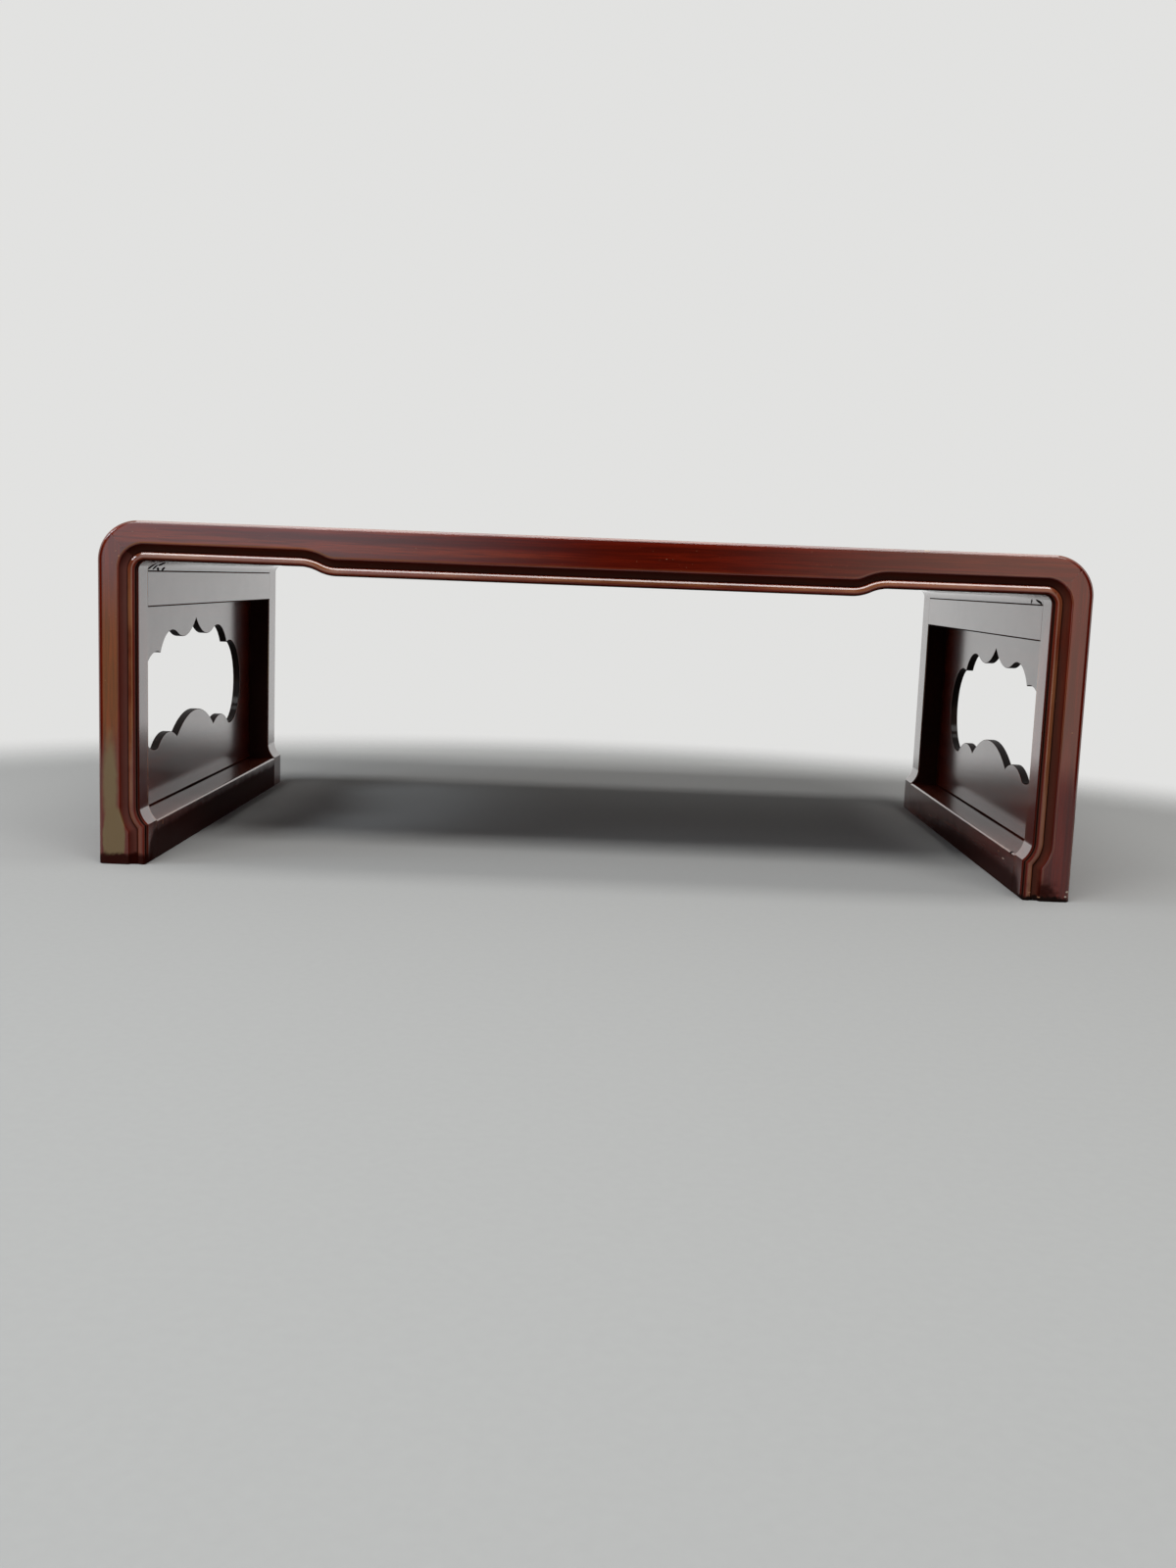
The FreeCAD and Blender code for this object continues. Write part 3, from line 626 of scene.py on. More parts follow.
@dataclass(frozen=True)
class Rosewood:
    """What the finishes on rosewood share: the grain's way, and the figure's place and colours."""

    name: str
    grain: Grain
    offset: Place = (0.0, 0.0, 0.0)
    deep: Colour = (0.058, 0.0034, 0.0009)
    middle: Colour = (0.122, 0.0066, 0.0012)
    warm: Colour = (0.195, 0.0215, 0.0028)
    stretch: float = 30.0

    def begin(self) -> tuple[Material, Wiring, Socket, Sockets]:
        """Starts the material with its figure.

        Returns:
            The material, its wiring, the place on the table and the figure's sockets.
        """
        material = bpy.data.materials.new(self.name)
        wiring = emptied(material)
        place = wiring.node("ShaderNodeTexCoord").outputs["Object"]
        scale = self.grain.stretch(1.0, 1.0 / self.stretch)
        laid = {"Vector": place, "Location": self.offset, "Scale": scale}
        grained = wiring.node("ShaderNodeMapping", laid, vector_type="TEXTURE").outputs[0]
        tints = {"Deep": self.deep, "Middle": self.middle, "Warm": self.warm}
        colours = {name: (*tint, 1) for name, tint in tints.items()}
        return material, wiring, place, wiring.effect(Effect.ROSEWOOD, {"Place": grained, **colours})


@dataclass(frozen=True)
class Lacquer(Rosewood):
    """Dark red-brown lacquer over rosewood, for one piece and its marks."""

    marks: tuple[Mark, ...] = ()
    # Worn edges; on the bead's slope this colour also paints a highlight.
    rubbed: Colour = (0.30, 0.115, 0.044)
    pooled: Colour = (0.064, 0.0215, 0.0140)
    # Painted shade: the near-black colour of quirks, recesses, cut edges and joints.
    grime: Colour = (0.006, 0.0025, 0.0018)
    bare: Colour = (0.40, 0.22, 0.12)
    rubbed_share: float = 0.6
    speck_share: float = 0.5
    smooth: float = 0.50
    hazy: float = 0.62
    chip_roughness: float = 0.3
    under_gloss: float = 0.02
    coat_roughness: float = 0.08
    refraction: float = 1.62
    figure_relief: float = 0.16
    bump: float = 0.5
    relief: float = 0.00004

    def material(self) -> Material:
        """Makes the material: figure, rubbed edges, dark hollows, painted shade and marks for colour, handled
        lacquer for gloss.

        Returns:
            The material.
        """
        material, wiring, place, figure = self.begin()
        film = wiring.effect(Effect.LACQUER, {"Place": place, "Smooth": self.smooth, "Hazy": self.hazy})
        exposed = wiring.node("ShaderNodeAttribute", attribute_name=EXPOSED).outputs["Fac"]
        arris = wiring.effect(Effect.ARRIS, {"Place": place, "Exposed": exposed})
        layers = (
            (wiring.math("MULTIPLY", arris["Rubbed"], self.rubbed_share), self.rubbed),
            (arris["Pooled"], self.pooled),
            (arris["Grime"], self.grime),
            (arris["Chipped"], self.bare),
            (wiring.math("MULTIPLY", film["Specks"], self.speck_share), self.bare),
        )
        colour = figure["Colour"]
        for share, tint in layers:
            colour = wiring.blend(share, colour, tint)
        coarse = wiring.math("MULTIPLY", arris["Chipped"], self.chip_roughness)
        rough = wiring.math("ADD", film["Roughness"], coarse)
        coat = wiring.math("MULTIPLY", film["Gloss"], arris["Coat"])
        grained = wiring.math("MULTIPLY", figure["Height"], self.figure_relief)
        height = wiring.math("ADD", film["Height"], grained)
        for mark in self.marks:
            mask = wiring.effect(Effect.MARK, {"Place": place, **mark.shape})["Mask"]
            colour = wiring.blend(mask, colour, mark.kind.colour)
            kept = wiring.math("SUBTRACT", 1.0, wiring.math("MULTIPLY", mask, mark.kind.dullness))
            coat = wiring.math("MULTIPLY", coat, kept)
        rough = wiring.math("MAXIMUM", rough, wiring.math("SUBTRACT", 1.0, coat))
        raised = {"Height": height, "Strength": self.bump, "Distance": self.relief}
        bump = wiring.node("ShaderNodeBump", raised)
        surface = wiring.node("ShaderNodeBsdfPrincipled", {
            "Base Color": colour, "Roughness": rough, "Specular IOR Level": self.under_gloss,
            "Coat Weight": coat, "Coat Roughness": self.coat_roughness, "Coat IOR": self.refraction,
            "Normal": bump.outputs[0],
        })
        wiring.node("ShaderNodeOutputMaterial", {"Surface": surface.outputs[0]})
        return material


@dataclass(frozen=True)
class PlanedWood(Rosewood):
    """Planed and oiled hardwood, for the pieces that show from below or not at all."""

    deep: Colour = (0.060, 0.022, 0.013)
    middle: Colour = (0.135, 0.055, 0.030)
    warm: Colour = (0.20, 0.090, 0.050)
    roughness: float = 0.42
    pore_roughness: float = 0.57
    pore_heights: Pair = (-0.2, 0.3)
    bump: float = 0.6
    relief: float = 0.0002

    def material(self) -> Material:
        """Makes the material: the same figure as the lacquered pieces, open-pored and dull.

        Returns:
            The material.
        """
        material, wiring, _, figure = self.begin()
        height = figure["Height"]
        rough = wiring.between(height, *self.pore_heights, self.pore_roughness, self.roughness)
        raised = {"Height": height, "Strength": self.bump, "Distance": self.relief}
        bump = wiring.node("ShaderNodeBump", raised)
        surface = wiring.node("ShaderNodeBsdfPrincipled", {
            "Base Color": figure["Colour"], "Roughness": rough, "Normal": bump.outputs[0],
        })
        wiring.node("ShaderNodeOutputMaterial", {"Surface": surface.outputs[0]})
        return material


@dataclass(frozen=True)
class TableSizes:
    """Sizes that several sub-assemblies share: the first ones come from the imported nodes."""

    half_width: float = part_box("right_foot_rail")[1].x
    half_depth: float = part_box("rear_rail")[1].y
    height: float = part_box("front_rail")[1].z
    bay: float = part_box("rear_rail")[0].y
    foot_x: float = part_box("right_foot_rail")[0].x
    foot_height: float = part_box("right_foot_rail")[1].z
    inner_x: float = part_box("right_upper_rail")[0].x
    bend_z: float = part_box("right_end_rail")[0].z
    end_x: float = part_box("right_end_rail")[0].x
    upper_z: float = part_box("right_upper_rail")[0].z
    corner_radius: float = 0.025
    inner_corner_radius: float = 0.006
    hairline: float = 0.00005

    @property
    def under_z(self) -> float:
        """Height of the rails' lower edge beside the corners."""
        return self.bend_z + self.inner_corner_radius

    @property
    def bend_x(self) -> float:
        """Distance out to where the inner corner starts to turn."""
        return self.inner_x - self.inner_corner_radius

    @property
    def arc_x(self) -> float:
        """Distance out to the centre of the outer corner."""
        return self.half_width - self.corner_radius

    @property
    def arc_z(self) -> float:
        """Height of the centre of the outer corner."""
        return self.height - self.corner_radius


@dataclass(frozen=True)
class Section:
    """Columns of the loop round a moulded piece.

    A column lies at a share of the way from a line at a distance from the inner edge to a line at a
    distance from the outer edge, and at a depth behind the face.
    """

    from_inner: Array | float
    from_outer: Array | float
    share: Array | float
    depth: Array | float
    exposed: Array | float

    @classmethod
    def joined(cls, *runs: "Section") -> "Section":
        """One loop of several runs in order, where a single value holds for its whole run."""
        columns = [np.broadcast_arrays(*vars(run).values()) for run in runs]
        return cls(*(np.concatenate(parts).astype(float) for parts in zip(*columns)))

    @classmethod
    def run(cls, distance: Array | float, depth: Array, share: int, exposed: Array | float) -> "Section":
        """A run of columns on one edge: the inner one for a share of 0, the outer one for 1."""
        return cls(distance, distance, share, depth, exposed)

    def place(self, inner: Array, outer: Array) -> Array:
        """Grid of flat places, by the share between the inner and the outer ones."""
        share = self.share[None, :, None]
        return (1 - share) * inner + share * outer


@dataclass(frozen=True)
class Moulding:
    """The moulding on the inner edge of the frames: a bead, a quirk and a cove, then the flat face."""

    thickness: float
    bead_depth: float = 0.0037
    bead_crown: Pair = (0.0021, 0.0014)
    bead_bend: float = 0.0031
    bead_slope: tuple[Pair, Pair] = ((0.0041, 0.00193), (0.0047, 0.00225))
    quirk_lead: float = 0.5
    quirk: Pair = (0.0054, 0.0040)
    lip: float = 0.0098
    cove_hollow: float = 0.0010
    lip_soft: float = 0.0013
    crown_reach: float = 0.0042
    crown_bend: float = 0.0025
    shoulder: Pair = (0.0015, 0.00042)
    bevel_lead: float = 0.15
    bevel: tuple[Pair, Pair] = ((0.00105, 0.00070), (0.0002, 0.00155))
    edge_drop: float = 0.0021
    back_soft: float = 0.0004
    # Across the bead's roll: painted shade on its inner side, wear on its crown.
    roll_wear: tuple[float, ...] = (-1.0, -1.0, -0.95, -0.86, -0.3, 0.5)
    # Wear on the bead's slope; its rubbed colour also paints a highlight there.
    slope_wear: float = 0.9
    # Painted shade in the quirk.
    quirk_wear: float = -1.0
    cove_wear: Pair = (-0.9, -0.7)
    lip_wear: Pair = (-0.6, 0.5)
    shoulder_wear: float = 0.35
    bevel_wear: float = 0.6
    back_wear: float = 1.0
    # Painted shade on the frames' rear faces, inside the recess.
    rear_wear: float = -0.96
    rear_shares: tuple[float, ...] = (0.97, 0.66, 0.34, 0.03)
    side_steps: int = 3
    cove_steps: int = 9
    soft_steps: int = 6
    face_steps: int = 14

    def section(self) -> Section:
        """The loop: up the inner side, over bead, cove and face, down the outer side and along the back.

        Returns:
            The section's columns.
        """
        back = self.back_soft
        grow, shrink = rounding(back, self.soft_steps)
        inside = slice(1, -1)
        sides = [np.linspace(edge, self.thickness - back, self.side_steps + 2)[inside]
                 for edge in (self.bead_depth, self.edge_drop)]
        cove = bowed(self.quirk, (self.lip, 0), self.cove_hollow, self.cove_steps)[inside]
        face_start = self.lip + self.lip_soft
        lip = eased(cove[-1], (self.lip, 0), (face_start, 0), self.soft_steps)[1:]
        face_shares = np.linspace(0, 1, self.face_steps + 2)[inside]
        return Section.joined(
            Section.run(shrink, self.thickness - grow, 0, self.back_wear),
            Section.run(0.0, sides[0][::-1], 0, 0.0),
            self.bead(),
            Section.run(*cove.T, 0, np.linspace(*self.cove_wear, len(cove))),
            Section.run(*lip.T, 0, np.linspace(*self.lip_wear, len(lip))),
            Section(face_start, self.crown_reach, face_shares, 0.0, 0.0),
            self.outer_edge(),
            Section.run(0.0, sides[1], 1, 0.0),
            Section.run(grow, self.thickness - shrink, 1, self.back_wear),
            Section(back, back, np.array(self.rear_shares), self.thickness, self.rear_wear),
        )

    def bead(self) -> Section:
        """The bead: a roll from the inner side to its crown, a slope that catches the light, and the quirk.

        Returns:
            The bead's columns, from the inner side to the bottom of the quirk.
        """
        steps = self.soft_steps
        crown = self.bead_crown
        start, end = self.bead_slope
        knee = np.add(end, self.quirk_lead * np.subtract(end, start))
        roll = eased((0, self.bead_depth), (0, crown[1]), crown, 2 * steps)
        turn = eased(crown, (self.bead_bend, crown[1]), start, steps)
        fall = eased(end, knee, self.quirk, steps)
        stops = np.linspace(0, 1, len(self.roll_wear))
        exposed_level = np.interp(np.linspace(0, 1, len(roll)), stops, self.roll_wear)
        return Section.joined(
            Section.run(*roll.T, 0, exposed_level),
            Section.run(*turn[1:].T, 0, self.slope_wear),
            Section.run(*fall.T, 0, np.linspace(self.slope_wear, self.quirk_wear, len(fall))),
        )

    def outer_edge(self) -> Section:
        """The outer edge: the face bends to a low crown, then a narrow bevel takes off the corner.

        Returns:
            The edge's columns, from the face to the outer side.
        """
        steps = self.soft_steps
        start, end = self.bevel
        crown = eased((self.crown_reach, 0), (self.crown_bend, 0), self.shoulder, 2 * steps)
        heading = np.subtract(self.shoulder, (self.crown_bend, 0))
        knee = np.add(self.shoulder, self.bevel_lead * heading)
        onto = eased(self.shoulder, knee, start, steps)
        off = eased(end, (0, end[1] + end[0]), (0, self.edge_drop), steps)
        return Section.joined(
            Section.run(*crown.T, 1, 0.0),
            Section.run(*onto[1:].T, 1, self.shoulder_wear),
            Section.run(*off.T, 1, self.bevel_wear),
        )


@dataclass(frozen=True)
class MouldedFrames:
    """The front and rear frames: a rail and two stiles each, mitred at rounded corners."""

    sizes: TableSizes
    apron_half_length: float = 0.157
    apron_drop: float = 0.0052
    ogee_length: float = 0.023
    flare_height: float = 0.012
    foot_soft: float = 0.0007
    rear_roll_wear: tuple[float, ...] = (0.0, 0.0, 0.5)
    # Painted light: the left stiles' hollows are lighter, as if lit from the right.
    dusty_hollow: Colour = (0.115, 0.044, 0.035)
    rail_figure: Place = (0.31, 0.0, 0.4)
    stile_figure: Place = (0.7, 0.23, 0.17)
    straight_steps: int = 14
    curve_steps: int = 13

    @property
    def flare_z(self) -> float:
        """Height at which the flare of the foot ends."""
        return self.sizes.foot_height + self.flare_height

    @property
    def ways(self) -> tuple[Array, Array]:
        """Rows from 0 to 1 along a curve, and along a straight run."""
        return tuple(np.linspace(0, 1, steps)[:, None] for steps in (self.curve_steps, self.straight_steps))

    def moulding(self, face: Face) -> Moulding:
        """The moulding on one frame: the front one's bead has dark lacquer and painted shade on its inner
        side, and the rear one's has neither.
        """
        exposed_level = Moulding.roll_wear if face is Face.FRONT else self.rear_roll_wear
        return Moulding(self.sizes.half_depth - self.sizes.bay, roll_wear=exposed_level)

    def stile_inner(self, distance: Array) -> Array:
        """Lines beside the stile's inner edge: foot, flare, leg and half of the corner.

        The flare is a circle about a point in the open, so a line at distance s has the radius plus s. It
        is mitred where its X reaches the foot's X plus s.

        Args:
            distance: Distance of each line from the edge.

        Returns:
            Grid of X and Z places.
        """
        sizes = self.sizes
        way, long_way = self.ways
        flare = sizes.inner_x - sizes.foot_x
        radius = (self.flare_height**2 + flare**2) / (2 * flare)
        reach = radius + distance
        mitre = np.arccos((radius - flare + distance) / reach)
        swing = (1 - way[1:]) * mitre
        turn = way[1:] * EIGHTH_TURN
        bend = sizes.inner_corner_radius + distance
        return np.concatenate([
            lines(sizes.foot_x + distance, way * (self.flare_z - reach * np.sin(mitre))),
            lines(sizes.inner_x - radius + reach * np.cos(swing), self.flare_z - reach * np.sin(swing)),
            lines(sizes.inner_x + distance, self.flare_z + long_way[1:] * (sizes.bend_z - self.flare_z)),
            lines(sizes.bend_x + bend * np.cos(turn), sizes.bend_z + bend * np.sin(turn)),
        ])

    def stile_outer(self, distance: Array) -> Array:
        """Lines beside the stile's outer edge, row by row with those of the inner edge.

        Args:
            distance: Distance of each line from the edge.

        Returns:
            Grid of X and Z places.
        """
        sizes = self.sizes
        way, long_way = self.ways
        upright = np.concatenate([
            way * sizes.foot_height,
            sizes.foot_height + way[1:] * self.flare_height,
            self.flare_z + long_way[1:] * (sizes.arc_z - self.flare_z),
        ])
        turn = way[1:] * EIGHTH_TURN
        reach = sizes.corner_radius - distance
        return np.concatenate([
            lines(sizes.half_width - distance, upright),
            lines(sizes.arc_x + reach * np.cos(turn), sizes.arc_z + reach * np.sin(turn)),
        ])

    def rail_inner(self, distance: Array) -> Array:
        """Lines beside the lower edge of the rail's right half, from the mitre to the middle.

        Two arcs of one radius make the ogee: the upper one has its centre under the rail, so its lines
        have the radius plus s, and the lower one has its centre in the wood, so they have it less s.

        Args:
            distance: Distance of each line from the edge.

        Returns:
            Grid of X and Z places.
        """
        sizes = self.sizes
        way, long_way = self.ways
        apron_start = self.apron_half_length
        apron_end = apron_start + self.ogee_length
        apron_z = sizes.under_z - self.apron_drop
        radius = (self.ogee_length**2 + self.apron_drop**2) / (4 * self.apron_drop)
        over, under = radius + distance, radius - distance
        swing = way[1:] * np.arcsin(self.ogee_length / 2 / radius)
        back_swing = swing[-1] - swing
        turn = EIGHTH_TURN * (1 + way)
        bend = sizes.inner_corner_radius + distance
        return np.concatenate([
            lines(sizes.bend_x + bend * np.cos(turn), sizes.bend_z + bend * np.sin(turn)),
            lines(sizes.bend_x + long_way[1:] * (apron_end - sizes.bend_x), sizes.under_z + distance),
            lines(apron_end - over * np.sin(swing), sizes.under_z - radius + over * np.cos(swing)),
            lines(apron_start + under * np.sin(back_swing), apron_z + radius - under * np.cos(back_swing)),
            lines(apron_start * (1 - long_way[1:]), apron_z + distance),
        ])

    def rail_outer(self, distance: Array) -> Array:
        """Lines beside the rail's upper edge, row by row with those of the lower edge.

        Args:
            distance: Distance of each line from the edge.

        Returns:
            Grid of X and Z places.
        """
        sizes = self.sizes
        turn = EIGHTH_TURN * (1 + self.ways[0])
        reach = sizes.corner_radius - distance
        below = self.rail_inner(np.zeros(1))[self.curve_steps :, :, 0]
        return np.concatenate([
            lines(sizes.arc_x + reach * np.cos(turn), sizes.arc_z + reach * np.sin(turn)),
            lines(below * sizes.arc_x / sizes.bend_x, sizes.height - distance),
        ])

    def carried(self, name: str, section: Section, places: Array, face: Face, soft: float) -> Piece:
        """Makes a piece of flat places, each at its column's depth behind one of the two faces.

        Args:
            name: The piece's node.
            section: The columns.
            places: Grid of X and Z places.
            face: The face that depths are taken from.
            soft: Radius on the end at the first row.

        Returns:
            The piece.
        """
        y = np.broadcast_to(face.value * (self.sizes.half_depth - section.depth), places.shape[:2])
        points = np.stack([places[..., 0], y, places[..., 1]], axis=-1)
        points = softened_ends(points, soft, self.sizes.hairline)
        return mesh_piece("lacquered_" + name, points, np.broadcast_to(section.exposed, points.shape[:2]))

    def build_stile(self, name: str, side: Side, face: Face) -> Piece:
        """Makes one stile, with its foot softened where it meets the floor.

        Args:
            name: The stile's node.
            side: The end of the table.
            face: The frame that it belongs to.

        Returns:
            The piece.
        """
        section = self.moulding(face).section()
        places = section.place(self.stile_inner(section.from_inner), self.stile_outer(section.from_outer))
        return self.carried(name, section, places * (side.value, 1), face, self.foot_soft)

    def build_rail(self, name: str, face: Face) -> Piece:
        """Makes one rail from its right half and the mirror of it.

        Args:
            name: The rail's node.
            face: The frame that it belongs to.

        Returns:
            The piece.
        """
        section = self.moulding(face).section()
        half = section.place(self.rail_inner(section.from_inner), self.rail_outer(section.from_outer))
        places = np.concatenate([half, half[-2::-1] * (-1, 1)])
        return self.carried(name, section, places, face, self.sizes.hairline)

    def marks(self, node: str) -> tuple[Mark, ...]:
        """The marks on one piece: wear, dark bands, painted shade and a painted reflection.

        Args:
            node: The piece's node.

        Returns:
            Its marks.
        """
        edge_y = -self.sizes.half_depth
        arris_y, bead_y, side_y = edge_y + 0.0004, edge_y + 0.002, edge_y + 0.026
        outer_x = self.sizes.half_width
        foot_x = self.sizes.foot_x
        found = {
            "front_rail": (
                Mark(MarkKind.PALE_CHIP, (0.2005, edge_y + 0.0006, 0.2128), (0.0021, 0.0022, 0.0009)),
                Mark(MarkKind.PALE_CHIP, (0.1955, arris_y, 0.2126), (0.0011, 0.0018, 0.0006)),
            ),
            "front_right_stile": (
                # Painted shade on the foot's inner side and low on its front.
                Mark(MarkKind.DARKENED, (foot_x, side_y, 0.0), (0.004, 0.022, 0.024), 0.15, 160.0, 0.4),
                Mark(MarkKind.DARKENED, (0.287, edge_y, 0.006), (0.013, 0.004, 0.013), 1.0, 240.0, 0.0),
                Mark(MarkKind.SOILED, (0.289, edge_y, -0.001), (0.03, 0.03, 0.0054), 0.8, 260.0, 0.6),
                Mark(MarkKind.PALE_CHIP, (outer_x - 0.0015, arris_y, 0.0066), (0.0012, 0.003, 0.0006)),
                Mark(MarkKind.PALE_CHIP, (outer_x - 0.0024, arris_y, 0.0036), (0.0010, 0.003, 0.0007)),
                Mark(MarkKind.BARE_WOOD, (foot_x + 0.0042, bead_y, 0.0052), (0.0012, 0.003, 0.0005)),
                Mark(MarkKind.BARE_WOOD, (0.283, edge_y, 0.0026), (0.0018, 0.002, 0.0005)),
                Mark(MarkKind.BARE_WOOD, (0.2963, edge_y, 0.1059), (0.0008, 0.002, 0.0003)),
            ),
            "front_left_stile": (
                # Painted reflection: a golden-olive patch low on the front.
                Mark(MarkKind.FADED, (-0.2958, edge_y, 0.050), (0.0060, 0.004, 0.040), 0.3, 120.0, 0.45),
                Mark(MarkKind.FADED, (-0.2936, edge_y, 0.016), (0.0078, 0.004, 0.023), 0.2, 160.0, 0.8),
                # Painted shade on the foot's inner side.
                Mark(MarkKind.DARKENED, (-foot_x, side_y, 0.0), (0.004, 0.022, 0.0245), 0.15, 160.0, 0.7),
                Mark(MarkKind.BARE_WOOD, (-0.2728, bead_y, 0.0032), (0.0007, 0.002, 0.0006)),
                Mark(MarkKind.BARE_WOOD, (-0.2896, edge_y, 0.1913), (0.0007, 0.002, 0.0003)),
                Mark(MarkKind.BARE_WOOD, (-0.2914, edge_y, 0.1942), (0.0004, 0.002, 0.0003)),
                # Painted shade along the bottom of the front.
                Mark(MarkKind.DARKENED, (-0.289, edge_y, -0.001), (0.03, 0.03, 0.0098), 0.6, 200.0, 0.7),
            ),
        }
        return found.get(node, ())

    def build(self) -> None:
        """Makes both frames' pieces and dresses each in lacquer with its own figure."""
        for face in Face:
            name = f"{face.name}_rail".lower()
            offset = (self.rail_figure[0] * face.value, *self.rail_figure[1:])
            finish = Lacquer("lacquer_" + name, Grain.WIDTH, offset, marks=self.marks(name))
            settle(self.build_rail(name, face), name, finish.material())
            for side in Side:
                name = f"{face.name}_{side.name}_stile".lower()
                signs = (side.value, face.value, side.value)
                offset = tuple(shift * sign for shift, sign in zip(self.stile_figure, signs))
                # The left stiles' hollows take the lighter colour that paints light on them.
                hollow = self.dusty_hollow if side is Side.LEFT else Lacquer.pooled
                marks = self.marks(name)
                finish = Lacquer("lacquer_" + name, Grain.HEIGHT, offset, marks=marks, pooled=hollow)
                settle(self.build_stile(name, side, face), name, finish.material())


@dataclass(frozen=True)
class PiercedOpening:
    """The cusped opening of a leg panel, as reaches from the middle and heights above the floor.

    Half of the outline runs over these corners on circular arcs, and the other half mirrors it.
    """

    peak: Pair = (0.0, 0.1486)
    lobe: Pair = (0.048, 0.1394)
    cusp: Pair = (0.087, 0.127)
    flank: Pair = (0.1245, 0.0749)
    toe: Pair = (0.0935, 0.062)
    notch: Pair = (0.0485, 0.0653)
    lobe_sag: float = 0.0073
    shoulder_rise: float = 0.0071
    side_rise: float = 0.022
    toe_rise: float = 0.0051
    side_hump_rise: float = 0.007
    middle_hump_rise: float = 0.0153
    lobe_partner: float = 0.052
    cusp_partner: float = 0.125
    flank_partner: float = 0.060
    toe_partner: float = 0.128
    steps: int = 15

    def partners(self, low: Array, high: Array) -> Array:
        """Where each point of the outline has its partner on the panel's rim.

        The corners' partners are chosen reaches and heights. As distances along the rim, clockwise from the
        middle of its top, the partners between them are evenly spread, and the nearest one to each corner
        of the rim moves into it.

        Args:
            low: The panel's lowest reach and height.
            high: Its highest reach and height.

        Returns:
            The partners in the outline's own order.
        """
        half, drop = high[0], high[1] - low[1]
        whole = 4 * half + 2 * drop
        foot = 2 * half + drop
        anchors = [0.0, self.lobe_partner, self.cusp_partner, half + high[1] - self.flank_partner,
                   foot - self.toe_partner, foot - self.notch[0]]
        runs = [np.linspace(*pair, self.steps)[:-1] for pair in zip(anchors, anchors[1:])]
        right = np.concatenate(runs)
        under = np.linspace(anchors[-1], whole - anchors[-1], 2 * self.steps)
        distance = np.concatenate([right, under, whole - right[:0:-1]])
        corners = np.array([half, half + drop, 3 * half + drop, 3 * half + 2 * drop])
        distance[np.argmin(np.abs(distance[:, None] - corners), axis=0)] = corners
        knots = np.array([0.0, *corners, whole])
        reach = np.interp(distance, knots, [0, half, half, -half, -half, 0])
        height = np.interp(distance, knots, [high[1], high[1], low[1], low[1], high[1], high[1]])
        return np.stack([reach, height], axis=1)

    def outline(self) -> Array:
        """The whole outline.

        Returns:
            Its points, clockwise from the peak, with each corner once.
        """
        corners = (self.peak, self.lobe, self.cusp, self.flank, self.toe, self.notch)
        rises = (-self.lobe_sag, self.shoulder_rise, self.side_rise, self.toe_rise, -self.side_hump_rise)
        runs = [bowed(*ends, self.steps) for ends in zip(corners, corners[1:], rises)]
        half = np.concatenate([run[:-1] for run in runs])
        far_notch = (-self.notch[0], self.notch[1])
        hump = bowed(self.notch, far_notch, -self.middle_hump_rise, 2 * self.steps)
        mirrored = half[:0:-1] * (-1, 1)
        return np.concatenate([half, hump, mirrored])


